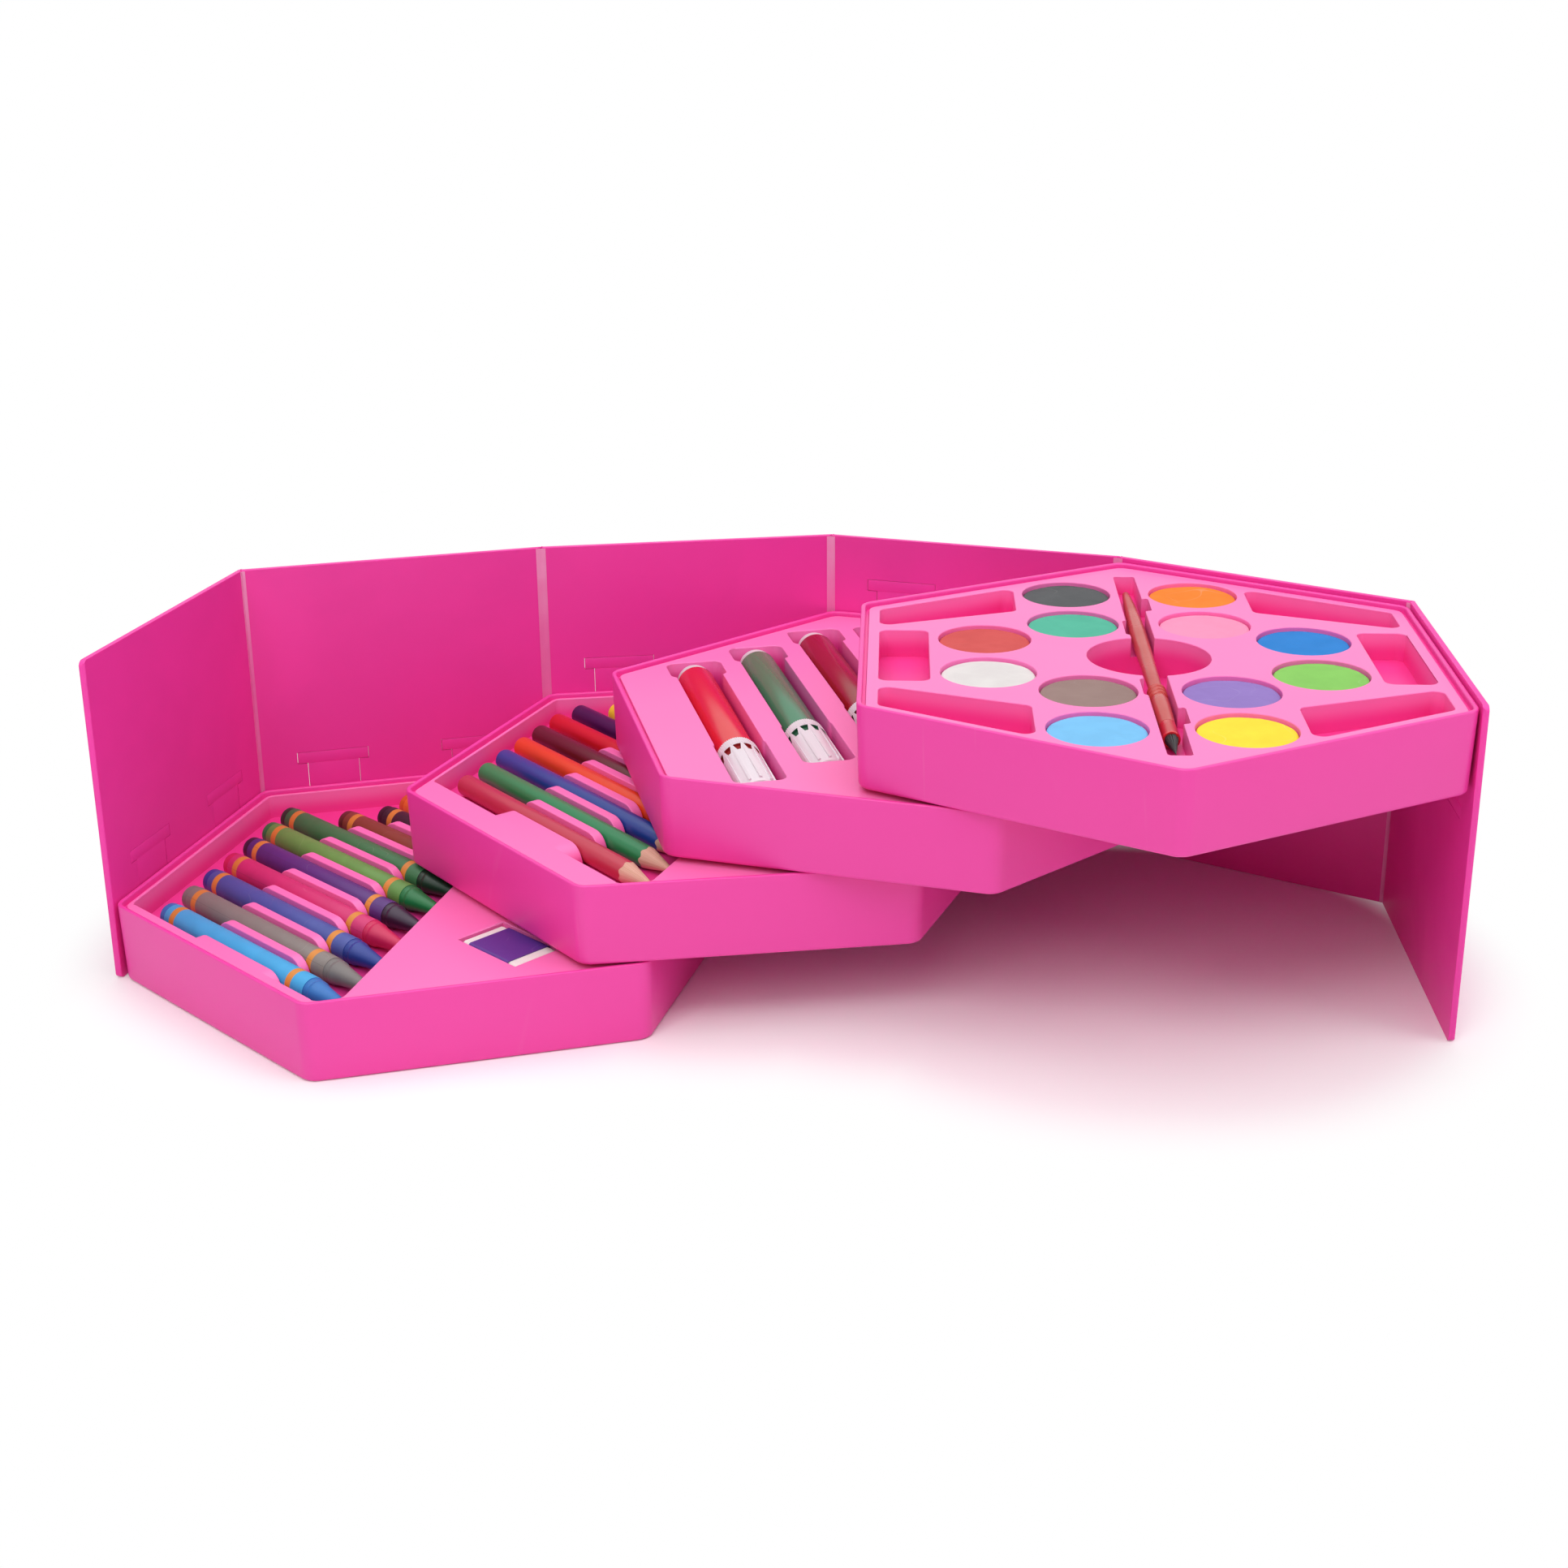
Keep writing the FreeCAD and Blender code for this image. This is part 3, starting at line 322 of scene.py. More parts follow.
def noise_node(tree, vector, scale, detail=2.0, distortion=0.0):
    """A noise texture that reads the given vector."""
    node = tree.nodes.new("ShaderNodeTexNoise")
    node.inputs["Detail"].default_value = detail
    node.inputs["Distortion"].default_value = distortion
    feed(tree, scale, node.inputs["Scale"])
    tree.links.new(vector, node.inputs["Vector"])
    return node.outputs["Fac"]


def math_node(tree, operation, first, second=0.0, third=0.0):
    """A math node whose inputs are numbers or sockets."""
    node = tree.nodes.new("ShaderNodeMath")
    node.operation = operation
    for socket, source in zip(node.inputs, (first, second, third)):
        feed(tree, source, socket)
    return node.outputs[0]


def ramp_node(tree, value, low, high, low_out=0.0, high_out=1.0):
    """Maps a value smoothly from one range to another."""
    node = tree.nodes.new("ShaderNodeMapRange")
    node.interpolation_type = "SMOOTHSTEP"
    for name, source in zip(("From Min", "From Max", "To Min", "To Max"), (low, high, low_out, high_out)):
        feed(tree, source, node.inputs[name])
    tree.links.new(value, node.inputs["Value"])
    return node.outputs["Result"]


def mix_node(tree, amount, first, second, blend="MIX"):
    """Mixes two colours, each a socket or a fixed colour."""
    node = tree.nodes.new("ShaderNodeMix")
    node.data_type = "RGBA"
    node.blend_type = blend
    for socket, source in ((node.inputs[0], amount), (node.inputs[6], first), (node.inputs[7], second)):
        feed(tree, source, socket)
    return node.outputs[2]


def shader_group(name, inputs, outputs):
    """An empty node group with named sockets, and its two ends."""
    tree = bpy.data.node_groups.new(name, "ShaderNodeTree")
    for label, kind in inputs:
        tree.interface.new_socket(label, in_out="INPUT", socket_type="NodeSocket" + kind)
    for label, kind in outputs:
        tree.interface.new_socket(label, in_out="OUTPUT", socket_type="NodeSocket" + kind)
    return tree, tree.nodes.new("NodeGroupInput").outputs, tree.nodes.new("NodeGroupOutput").inputs


print("node helpers ready")

# %% The moulded skin group
def moulded_skin_group():
    """Cloudy tone, fine grain and uneven gloss, for anything cast, moulded or dipped."""
    tree, given, out = shader_group(
        "moulded_skin",
        (("Vector", "Vector"), ("Colour", "Color"), ("Mottle", "Float"), ("Cloud Scale", "Float"),
         ("Grain Scale", "Float"), ("Roughness", "Float")),
        (("Colour", "Color"), ("Roughness", "Float"), ("Height", "Float")))
    cloud = noise_node(tree, given["Vector"], given["Cloud Scale"], 3.0, 0.4)
    shade = ramp_node(tree, cloud, 0.3, 0.7)
    depth = math_node(tree, "MULTIPLY", given["Mottle"], shade)
    darker = mix_node(tree, 1.0, given["Colour"], (0.72, 0.66, 0.7, 1.0), "MULTIPLY")
    tree.links.new(mix_node(tree, depth, given["Colour"], darker), out["Colour"])
    uneven = math_node(tree, "MULTIPLY", math_node(tree, "SUBTRACT", cloud, 0.5), given["Mottle"])
    tree.links.new(math_node(tree, "ADD", given["Roughness"], uneven), out["Roughness"])
    tree.links.new(noise_node(tree, given["Vector"], given["Grain Scale"], 2.0), out["Height"])
    return tree


def scuffs_group():
    """Thin pale scratches, drawn out in one direction, that come and go in patches."""
    tree, given, out = shader_group(
        "scuffs", (("Vector", "Vector"), ("Scale", "Float"), ("Amount", "Float")), (("Mask", "Float"),))
    drawn = tree.nodes.new("ShaderNodeMapping")
    drawn.inputs["Rotation"].default_value = (0.5, 0.9, 0.3)
    drawn.inputs["Scale"].default_value = (1.0, 1.0, 0.1)
    tree.links.new(given["Vector"], drawn.inputs["Vector"])
    field = noise_node(tree, drawn.outputs["Vector"], given["Scale"], 0.0, 0.1)
    line = math_node(tree, "ABSOLUTE", math_node(tree, "SUBTRACT", field, 0.5))
    scratch = ramp_node(tree, line, 0.0, 0.012, 1.0, 0.0)
    patch = noise_node(tree, given["Vector"], math_node(tree, "MULTIPLY", given["Scale"], 0.6), 2.0)
    where = ramp_node(tree, patch, 0.52, 0.68)
    strength = math_node(tree, "MULTIPLY", scratch, where)
    tree.links.new(math_node(tree, "MULTIPLY", strength, given["Amount"]), out["Mask"])
    return tree


MOULDED_SKIN = moulded_skin_group()
SCUFFS = scuffs_group()
print("groups:", MOULDED_SKIN.name, SCUFFS.name)


# %% Finish helpers
def new_finish(name):
    """A material, its node tree, its shader and its texture coordinates."""
    finish = bpy.data.materials.new(name)
    finish.use_nodes = True
    tree = finish.node_tree
    where = tree.nodes.new("ShaderNodeTexCoord").outputs
    return finish, tree, tree.nodes["Principled BSDF"].inputs, where


def group_node(tree, group, **values):
    """Places a node group and sets its inputs. Underscores in a name stand for spaces."""
    node = tree.nodes.new("ShaderNodeGroup")
    node.node_tree = group
    for name, source in values.items():
        feed(tree, source, node.inputs[name.replace("_", " ")])
    return node.outputs


def bump(tree, height, shader, strength, distance):
    """Feeds a height to the shader's normal. The distance is in millimetres."""
    node = tree.nodes.new("ShaderNodeBump")
    node.inputs["Strength"].default_value = strength
    node.inputs["Distance"].default_value = distance * MM
    tree.links.new(height, node.inputs["Height"])
    tree.links.new(node.outputs["Normal"], shader["Normal"])


def skin_finish(name, colour, mottle=0.2, cloud=25.0, grain=1500.0, rough=0.4, depth=0.02, scuff=0.0,
                scuff_colour=screen(255, 225, 240), scuff_scale=40.0, **shader_values):
    """A moulded finish: cloudy colour, fine grain, uneven gloss and, where asked, pale scuffs."""
    finish, tree, shader, where = new_finish(name)
    skin = group_node(tree, MOULDED_SKIN, Vector=where["Object"], Colour=colour, Mottle=mottle,
                      Cloud_Scale=cloud, Grain_Scale=grain, Roughness=rough)
    tone = skin["Colour"]
    if scuff:
        marks = group_node(tree, SCUFFS, Vector=where["Object"], Scale=scuff_scale, Amount=scuff)
        tone = mix_node(tree, marks["Mask"], tone, scuff_colour)
    tree.links.new(tone, shader["Base Color"])
    tree.links.new(skin["Roughness"], shader["Roughness"])
    bump(tree, skin["Height"], shader, 0.35, depth)
    for label, value in shader_values.items():
        shader[label.replace("_", " ")].default_value = value
    return finish


print("finish helpers ready")

# %% [markdown]
# ## The pink plastics
# Panels, tray shells and tray inserts take three slightly different pinks: the panels are the
# most saturated, the inserts the palest. The inserts' pale pink on the plates is painted light,
# their top faces shown lighter than the shells' pink, and down their recesses it turns to a deeper
# pink as painted shade. All three take the same skin group with their own colour, so they look like one family.

# %% Pink finishes
PLATE_LEVEL = corners("tray_insert_1")[:, 2].max()
# painted shade: the deeper pink that the inserts' recess walls and floors are darkened towards
RECESS_SHADE_PINK = screen(238, 60, 152)


def insert_finish(name, colour):
    """The inserts' plastic: pale on the plates, which is painted light, and a deeper pink down the recesses, which
    is painted shade.
    """
    finish, tree, shader, where = new_finish(name)
    split = tree.nodes.new("ShaderNodeSeparateXYZ")
    tree.links.new(where["Object"], split.inputs[0])
    level = math_node(tree, "MODULO", split.outputs["Z"], TIER_PITCH)
    # painted shade: the pink deepens from 0.8 mm to 7 mm below the plate, down each recess
    recess_shade = ramp_node(tree, level, PLATE_LEVEL - 7 * MM, PLATE_LEVEL - 0.8 * MM, 1.0, 0.0)
    pink = mix_node(tree, recess_shade, colour, RECESS_SHADE_PINK)
    skin = group_node(tree, MOULDED_SKIN, Vector=where["Object"], Colour=pink, Mottle=0.08,
                      Cloud_Scale=12.0, Grain_Scale=1500.0, Roughness=0.4)
    tree.links.new(skin["Colour"], shader["Base Color"])
    tree.links.new(skin["Roughness"], shader["Roughness"])
    bump(tree, skin["Height"], shader, 0.3, 0.02)
    return finish


PANEL_PINK = skin_finish("panel_pink", screen(246, 58, 168), mottle=0.26, cloud=20.0, rough=0.45)
TRAY_PINK = skin_finish("tray_pink", screen(242, 64, 166), mottle=0.08, cloud=10.0, rough=0.40, scuff=0.03)
# painted light: the inserts' pale pink stands for their top faces catching more light than the shell walls
INSERT_PINK = insert_finish("insert_pink", screen(252, 120, 190))
print("pink finishes:", PANEL_PINK.name, TRAY_PINK.name, INSERT_PINK.name)

# %% [markdown]
# ## Wall panels
# Each panel is a flat moulding with T-shaped openings for the tray hooks and bevelled ends that let
# the strip fold. The engineering solid already has all of that, so a copy with softly rounded
# outer edges is enough. The first and the last panel also have rounded corners at their free end.
# A bevel would fold the long flat faces there, so a few straight cuts trim each corner instead.

# %% Panel borders and free corners
PANEL_HEIGHT = corners("wall_panel_2")[:, 2].max() / MM
CORNER_RADIUS = 2.5
CORNER_CUTS = 5
FREE_END = {1: 2, 6: 5}  # the panels with a free end, and the panel next to each


def panel_border(edge):
    """The outer edges of a panel: its top, its foot and its two ends, but not the hook openings."""
    heights = [corner.co.z / MM for corner in edge.verts]
    at_border = max(heights) < 0.1 or min(heights) > PANEL_HEIGHT - 0.1
    return sharp_ridge(edge) and (at_border or edge.calc_length() > PANEL_HEIGHT * MM / 2)


def corner_trim(number):
    """A trim that rounds the two corners at the free end of the first or the last panel."""
    own, next_to = (corners("wall_panel_%d" % one) for one in (number, FREE_END[number]))
    outward = (own.mean(axis=0) - next_to.mean(axis=0)) * (1, 1, 0)
    spread = (own - own.mean(axis=0)) * (1, 1, 0)
    along = np.linalg.svd(spread, full_matrices=False)[2][0]
    along *= np.sign(along @ outward)
    end = (own @ along).max()

    def trim(form):
        """Cuts both corners with planes that touch the corner's arc, and closes each cut."""
        radius = CORNER_RADIUS * MM
        for up, level in ((1, PANEL_HEIGHT * MM), (-1, 0.0)):
            middle = along * (end - radius) + np.array((0, 0, level - up * radius))
            for cut in range(1, CORNER_CUTS + 1):
                angle = math.pi / 2 * cut / (CORNER_CUTS + 1)
                normal = along * math.cos(angle) + np.array((0, 0, up * math.sin(angle)))
                parts = form.verts[:] + form.edges[:] + form.faces[:]
                made = bmesh.ops.bisect_plane(form, geom=parts, plane_co=middle + normal * radius,
                                              plane_no=normal, clear_outer=True)["geom_cut"]
                rim = [one for one in made if isinstance(one, bmesh.types.BMEdge)]
                bmesh.ops.contextual_create(form, geom=rim)
        bmesh.ops.recalc_face_normals(form, faces=form.faces)

    return trim


print("panels are %.1f mm high" % PANEL_HEIGHT)

# %% Panels
PANEL_EDGE = 0.3
for number in range(1, 7):
    node = "wall_panel_%d" % number
    trim = corner_trim(number) if number in FREE_END else None
    mesh = softened("panel_%d" % number, node, PANEL_EDGE, panel_border, 2, trim)
    piece("panel_%d" % number, mesh, [PANEL_PINK], node)

# %% [markdown]
# ## Living hinges
# Between two panels the plastic is thinned to a flexible strip, which turns whitish where it has
# been bent, most of all near its two ends. On the frame the hinge is a bead in a socket. Here a
# thin curved film closes the groove on the inside.

# %% Hinge films
FILM_HALF_WIDTH = 1.8
FILM_SINK = 0.08
FILM_RAISE = 0.14
FILM_THICK = 0.25
FILM_STEPS = 8
FILM_END_GAP = 0.4       # between the film's ends and the panels' top and foot
INNER_LIP = 1.3          # from the hinge axis in to the panels' inner faces


def hinge_film_finish():
    """Stressed plastic: pink in the middle of its height, whitish towards the ends and in streaks."""
    finish, tree, shader, where = new_finish("hinge_film")
    height = tree.nodes.new("ShaderNodeSeparateXYZ")
    tree.links.new(where["Object"], height.inputs[0])
    middle = PANEL_HEIGHT * MM / 2
    from_middle = math_node(tree, "ABSOLUTE", math_node(tree, "SUBTRACT", height.outputs["Z"], middle))
    ends = ramp_node(tree, from_middle, 0.3 * middle, middle, 0.3, 0.75)
    streak = noise_node(tree, where["Object"], 90.0, 3.0)
    amount = math_node(tree, "MULTIPLY", ends, ramp_node(tree, streak, 0.25, 0.75, 0.75, 1.1))
    tree.links.new(mix_node(tree, amount, screen(236, 70, 164), screen(250, 176, 216)), shader["Base Color"])
    shader["Roughness"].default_value = 0.35
    bump(tree, streak, shader, 0.3, 0.05)
    return finish


def hinge_film(name, corner, left, right):
    """A film at a hinge between the headings of the panels left and right of it."""
    form = bmesh.new()
    rails = []
    middle = (left + right) / 2
    fold = INNER_LIP * math.tan(abs(left - right) / 2)
    for step in range(-FILM_STEPS, FILM_STEPS + 1):
        share = step / FILM_STEPS
        heading = left if step < 0 else right
        reach = math.copysign(fold, share) * bool(step) + share * (FILM_HALF_WIDTH - fold)
        along = Vector((math.cos(heading), math.sin(heading))) * reach
        inward = Vector((math.sin(heading), -math.cos(heading)))
        if step == 0:
            inward = Vector((math.sin(middle), -math.cos(middle))) / math.cos((left - right) / 2)
        depth = INNER_LIP + FILM_RAISE - FILM_SINK * (1 - share * share) ** 2
        rails.append([corner + (along + inward * (depth - back)) * MM for back in (0.0, FILM_THICK)])
    loop = [rail[0] for rail in rails] + [rail[1] for rail in reversed(rails)]
    low = [form.verts.new((point.x, point.y, FILM_END_GAP * MM)) for point in loop]
    high = [form.verts.new((point.x, point.y, (PANEL_HEIGHT - FILM_END_GAP) * MM)) for point in loop]
    for index, first in enumerate(low):
        after = (index + 1) % len(loop)
        form.faces.new((first, low[after], high[after], high[index]))
    form.faces.new(low[::-1])
    form.faces.new(high)
    bmesh.ops.recalc_face_normals(form, faces=form.faces)
    shown = bpy.data.objects.new(name, as_mesh(name, form))
    bpy.context.scene.collection.objects.link(shown)
    shown.data.materials.append(HINGE_FILM)
    return shown


HINGE_FILM = hinge_film_finish()
print("hinge film is", FILM_THICK, "mm thick")

# %% A film at each hinge
HEADINGS = [math.atan2(tier[1][0], tier[0][0]) for tier in TIERS]
corner_a = (TIERS[0] @ Vector((-PITCH / 2, AXIS_Y, 0))).xy
corner_e = (TIERS[3] @ Vector((PITCH / 2, AXIS_Y, 0))).xy
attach(hinge_film("hinge_film_a", corner_a, HEADINGS[0] + SIXTH, HEADINGS[0]), "tier_1")
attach(hinge_film("hinge_film_e", corner_e, HEADINGS[3], HEADINGS[3] - SIXTH), "tier_4")
for level, hinge in enumerate(HINGES):
    film = hinge_film("hinge_film_" + hinge["name"][-1], Vector(hinge["pos_m"]).xy,
                      HEADINGS[level], HEADINGS[level + 1])
    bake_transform(film)
print("hinge films:", 2 + len(HINGES))

# %% [markdown]
# ## Tray shells
# A shell is an open six-sided box with a little draft, rounded corners, a rounded foot and a
# rounded rim. It is built as rings: each ring is the hexagon with its corner arcs, moved in and up
# along the wall's section, and neighbouring rings are bridged. The T-shaped hooks that hold the tray
# lie flush in its panel, so they take the panel's pink and show as no more than a fine outline.

# %% Shell rings
TRAY_HEIGHT = 26.2
RIM_APOTHEM = 89.233
FOOT_APOTHEM = 88.501
SHELL_WALL = 1.5
SHELL_FLOOR = 1.6
CORNER = 6.0
TOE = 1.4
RIM_ROUND = 0.55
LEDGE = PLATE_LEVEL / MM - 0.9      # closes the slit round the insert just below its plate
SEAT_APOTHEM = corners("tray_insert_1")[:, 1].max() / MM + 0.1
ARC_STEPS = 10


def hexagon(apothem, corner):
    """The outline of a hexagon with rounded corners, with flats towards +Y and -Y."""
    points = []
    reach = (apothem - corner) * 2 / math.sqrt(3)
    for side in range(6):
        heading = SIXTH * side
        for step in range(ARC_STEPS + 1):
            turn = heading + SIXTH * (step / ARC_STEPS - 0.5)
            points.append((reach * math.cos(heading) + corner * math.cos(turn),
                           reach * math.sin(heading) + corner * math.sin(turn)))
    return points


def quarter(steps=4):
    """Shares of a quarter circle: how far in and how far up, from the side to the top."""
    return [(1 - math.cos(math.pi / 2 * step / steps), math.sin(math.pi / 2 * step / steps))
            for step in range(steps + 1)]


def outside(height):
    """The apothem of the wall's leaning outside face at a height."""
    return FOOT_APOTHEM + (RIM_APOTHEM - FOOT_APOTHEM) * height / TRAY_HEIGHT


def shell_section():
    """The wall's section as insets from the outside face and heights, from the foot over the rim."""
    rows = [(TOE * (1 - up), TOE * aside) for aside, up in quarter()]
    rows += [(RIM_ROUND * aside, TRAY_HEIGHT - RIM_ROUND * (1 - up)) for aside, up in quarter()]
    rows += [(SHELL_WALL - RIM_ROUND * aside, TRAY_HEIGHT - RIM_ROUND * (1 - up))
             for aside, up in reversed(quarter())]
    rows.append((SHELL_WALL, LEDGE))
    rows += [(outside(height) - SEAT_APOTHEM, height) for height in (LEDGE, SHELL_FLOOR)]
    return rows


def shell_form():
    """A tray shell round its own centre."""
    form = bmesh.new()
    rings = []
    for inset, height in shell_section():
        outline = hexagon(outside(height) - inset, CORNER - inset)
        rings.append([form.verts.new((x * MM, y * MM, height * MM)) for x, y in outline])
    for near, far in zip(rings, rings[1:]):
        for index in range(len(near)):
            after = (index + 1) % len(near)
            form.faces.new((near[index], near[after], far[after], far[index]))
    form.faces.new(rings[0][::-1])
    form.faces.new(rings[-1])
    return form


print("shell section has", len(shell_section()), "rings")

# %% Tray hooks and shells
TAB_SPACING = 51.5
TAB_HEAD = (25.0, 4.0)
TAB_STEM = 18.0
TAB_REACH = 12.5
TAB_ROOT = 7.0
TAB_THICK = 1.4
TAB_EDGE = 0.1
TAB_SINK = 0.06          # the stem lies this much inside the head, so that no two faces share a plane
INNER_Y = AXIS_Y / MM - INNER_LIP
HOOKED_SIDES = {1: ((0, False), (SIXTH, False)), 2: ((0, False),), 3: ((0, False),),
                4: ((0, True), (-SIXTH, True))}


def hooks(form, turn, hanging):
    """Two T-shaped hooks on one side of a tray, upwards or hanging."""
    side = bmesh.new()
    for middle in (-TAB_SPACING / 2, TAB_SPACING / 2):
        head_low = -TAB_REACH if hanging else TRAY_HEIGHT + TAB_REACH - TAB_HEAD[1]
        stem_low = -TAB_REACH if hanging else TRAY_HEIGHT - TAB_ROOT
        root_low = 2 * TOE if hanging else TRAY_HEIGHT - TAB_ROOT
        block(side, (middle - TAB_HEAD[0] / 2, INNER_Y, head_low),
              (middle + TAB_HEAD[0] / 2, INNER_Y + TAB_THICK, head_low + TAB_HEAD[1]), TAB_EDGE)
        block(side, (middle - TAB_STEM / 2, INNER_Y + TAB_SINK, stem_low + TAB_SINK),
              (middle + TAB_STEM / 2, INNER_Y + TAB_THICK - TAB_SINK,
               stem_low + TAB_REACH + TAB_ROOT - TAB_SINK), TAB_EDGE)
        block(side, (middle - TAB_STEM / 2, RIM_APOTHEM - SHELL_WALL, root_low),
              (middle + TAB_STEM / 2, INNER_Y + TAB_EDGE, root_low + TAB_ROOT - 2 * TOE), TAB_EDGE)
    for face in side.faces:
        face.material_index = 1
    draft = bpy.data.meshes.new("hooks")
    bmesh.ops.transform(side, matrix=Matrix.Rotation(turn, 4, "Z"), verts=side.verts)
    side.to_mesh(draft)
    side.free()
    form.from_mesh(draft)


for number, tier in enumerate(TIERS, start=1):
    form = shell_form()
    for turn, hanging in HOOKED_SIDES[number]:
        hooks(form, turn, hanging)
    mesh = as_mesh("shell_%d" % number, form)
    mesh.transform(tier)
    piece("shell_%d" % number, mesh, [TRAY_PINK, PANEL_PINK], "tray_shell_%d" % number)
    print("shell", number, len(mesh.polygons), "faces")

# %% [markdown]
# ## Tray inserts
# The inserts are thin formed plates with lanes, pockets, cups and wells. Forming leaves every edge
# at the top of a recess softly rounded, and that bright edge line is the first thing seen in them.
# So each copy is rounded along the convex edges near its top, wherever there is room for it.

# %% Inserts
INSERT_EDGE = 0.35
SHORTEST_EDGE = 0.2
RIDGE_DEPTH = 4.0


def room(edge):
    """How far the nearest corner stands that faces an edge across one of its two faces."""
    start = edge.verts[0].co
    along = edge.verts[1].co - start
    nearest = PITCH
    for corner in {corner for face in edge.link_faces for corner in face.verts}:
        share = (corner.co - start).dot(along) / along.length_squared
        if 0.001 < share < 0.999:
            nearest = min(nearest, (corner.co - start - along * share).length)
    return nearest


def insert_ridge(edge, top):
    """Outer edges of the plate, its recesses and its fins."""
    high = max(corner.co.z for corner in edge.verts) > top - RIDGE_DEPTH * MM
    long = edge.calc_length() > SHORTEST_EDGE * MM
    return high and long and sharp_ridge(edge) and room(edge) > INSERT_EDGE * MM


for number in range(1, 5):
    node = "tray_insert_%d" % number
    top = corners(node)[:, 2].max()
    mesh = softened("insert_%d" % number, node, INSERT_EDGE, lambda edge: insert_ridge(edge, top))
    piece("insert_%d" % number, mesh, [INSERT_PINK], node)

# %% [markdown]
# ## Wax crayons
# A crayon is a stick of wax in a paper sleeve with a gold band printed near each end. It is turned
# from its section, with the sleeve standing a hair above the wax. The bands are drawn in the
# material from the UV map, which runs along the stick, so they stay crisp at any size.

# %% Crayon finishes
CRAYON = {"butt": 3.0, "shoulder": 3.5, "tip": 11.5}
CRAYON_LENGTH = lane_length("crayon_01_light_blue", LANES[0])
CRAYON_SLEEVE = CRAYON_LENGTH - sum(CRAYON.values())
BAND_AT = (7.3, CRAYON_LENGTH - 22.6)
BAND_WIDTH = 2.7
GOLD = screen(214, 134, 52)
CRAYON_COLOURS = {
    "light_blue": ((60, 165, 222), (35, 110, 185)), "grey": ((130, 120, 116), (118, 112, 110)),
    "blue": ((66, 80, 155), (30, 55, 140)), "crimson": ((205, 45, 110), (200, 30, 85)),
    "purple": ((82, 42, 118), (42, 20, 48)), "light_green": ((98, 148, 70), (20, 115, 60)),
    "dark_green": ((50, 112, 66), (16, 48, 32)), "brown": ((128, 60, 40), (90, 36, 26)),
    "black": ((42, 25, 35), (28, 18, 24)), "orange": ((230, 112, 34), (210, 90, 22)),
    "yellow": ((240, 208, 60), (230, 188, 32)), "red": ((208, 36, 44), (182, 24, 34))}


def bands_group():
    """Two printed bands across a stick, from a place along it in millimetres."""
    tree, given, out = shader_group("bands", (("Along", "Float"), ("First", "Float"), ("Second", "Float"),
                                              ("Width", "Float")), (("Mask", "Float"),))
    half = math_node(tree, "MULTIPLY", given["Width"], 0.5)
    first, second = (math_node(tree, "ABSOLUTE", math_node(tree, "SUBTRACT", given["Along"], given[band]))
                     for band in ("First", "Second"))
    inside = math_node(tree, "SUBTRACT", half, math_node(tree, "MINIMUM", first, second))
    tree.links.new(ramp_node(tree, inside, -0.06, 0.06), out["Mask"])
    return tree


def along_stick(tree, where, length):
    """The place along a stick in millimetres, from its UV map."""
    split = tree.nodes.new("ShaderNodeSeparateXYZ")
    tree.links.new(where["UV"], split.inputs[0])
    return math_node(tree, "MULTIPLY", split.outputs["Y"], length), split.outputs["X"]


BANDS = bands_group()


def paper_finish(name, colour):
    """Printed paper sleeve: two gold bands, a paler rubbed tone in places and a lapped seam."""
    finish, tree, shader, where = new_finish(name)
    along, around = along_stick(tree, where, CRAYON_LENGTH)
    skin = group_node(tree, MOULDED_SKIN, Vector=where["Object"], Colour=colour, Mottle=0.25,
                      Cloud_Scale=120.0, Grain_Scale=2600.0, Roughness=0.5)
    bands = group_node(tree, BANDS, Along=along, First=BAND_AT[0], Second=BAND_AT[1], Width=BAND_WIDTH)
    printed = mix_node(tree, bands["Mask"], skin["Colour"], GOLD)
    marks = group_node(tree, SCUFFS, Vector=where["Object"], Scale=150.0, Amount=0.08)
    worn = mix_node(tree, marks["Mask"], printed, screen(235, 225, 215))
    from_seam = math_node(tree, "ABSOLUTE", math_node(tree, "SUBTRACT", around, 0.3))
    seam = ramp_node(tree, from_seam, 0.0, 0.006, 0.35, 0.0)
    tree.links.new(mix_node(tree, seam, worn, screen(60, 45, 50)), shader["Base Color"])
    tree.links.new(skin["Roughness"], shader["Roughness"])
    bump(tree, skin["Height"], shader, 0.3, 0.03)
    return finish


def wax_finish(name, colour):
    """Coloured wax: slightly cloudy, with a soft polish."""
    return skin_finish(name, colour, mottle=0.22, cloud=160.0, grain=900.0, rough=0.42, depth=0.03)


print("bands at", BAND_AT, "mm")

# %% Crayons
def crayon_profile():
    """Rows for a crayon: wax butt, paper sleeve, wax shoulder with a groove, blunt tip."""
    wax, paper = 1, 0
    sleeve = CRAYON["butt"]
    shoulder = sleeve + CRAYON_SLEEVE
    neck = shoulder + CRAYON["shoulder"]
    end = CRAYON_LENGTH
    return [(0.0, 3.3, wax), (0.12, 3.72, wax), (0.5, 3.95, wax), (sleeve - 0.01, 4.0, wax),
            (sleeve, 4.12, paper), (sleeve + 0.12, 4.2, paper), (shoulder - 0.12, 4.2, paper),
            (shoulder, 4.12, wax), (shoulder + 0.01, 3.98, wax), (shoulder + 1.6, 3.95, wax),
            (shoulder + 1.8, 3.82, wax), (shoulder + 2.1, 3.82, wax), (shoulder + 2.3, 3.92, wax),
            (neck - 0.3, 3.85, wax), (neck + 0.2, 3.5, wax), (end - 1.0, 1.95, wax), (end - 0.35, 1.7, wax),
            (end - 0.08, 1.35, wax), (end, 0.8, wax)]


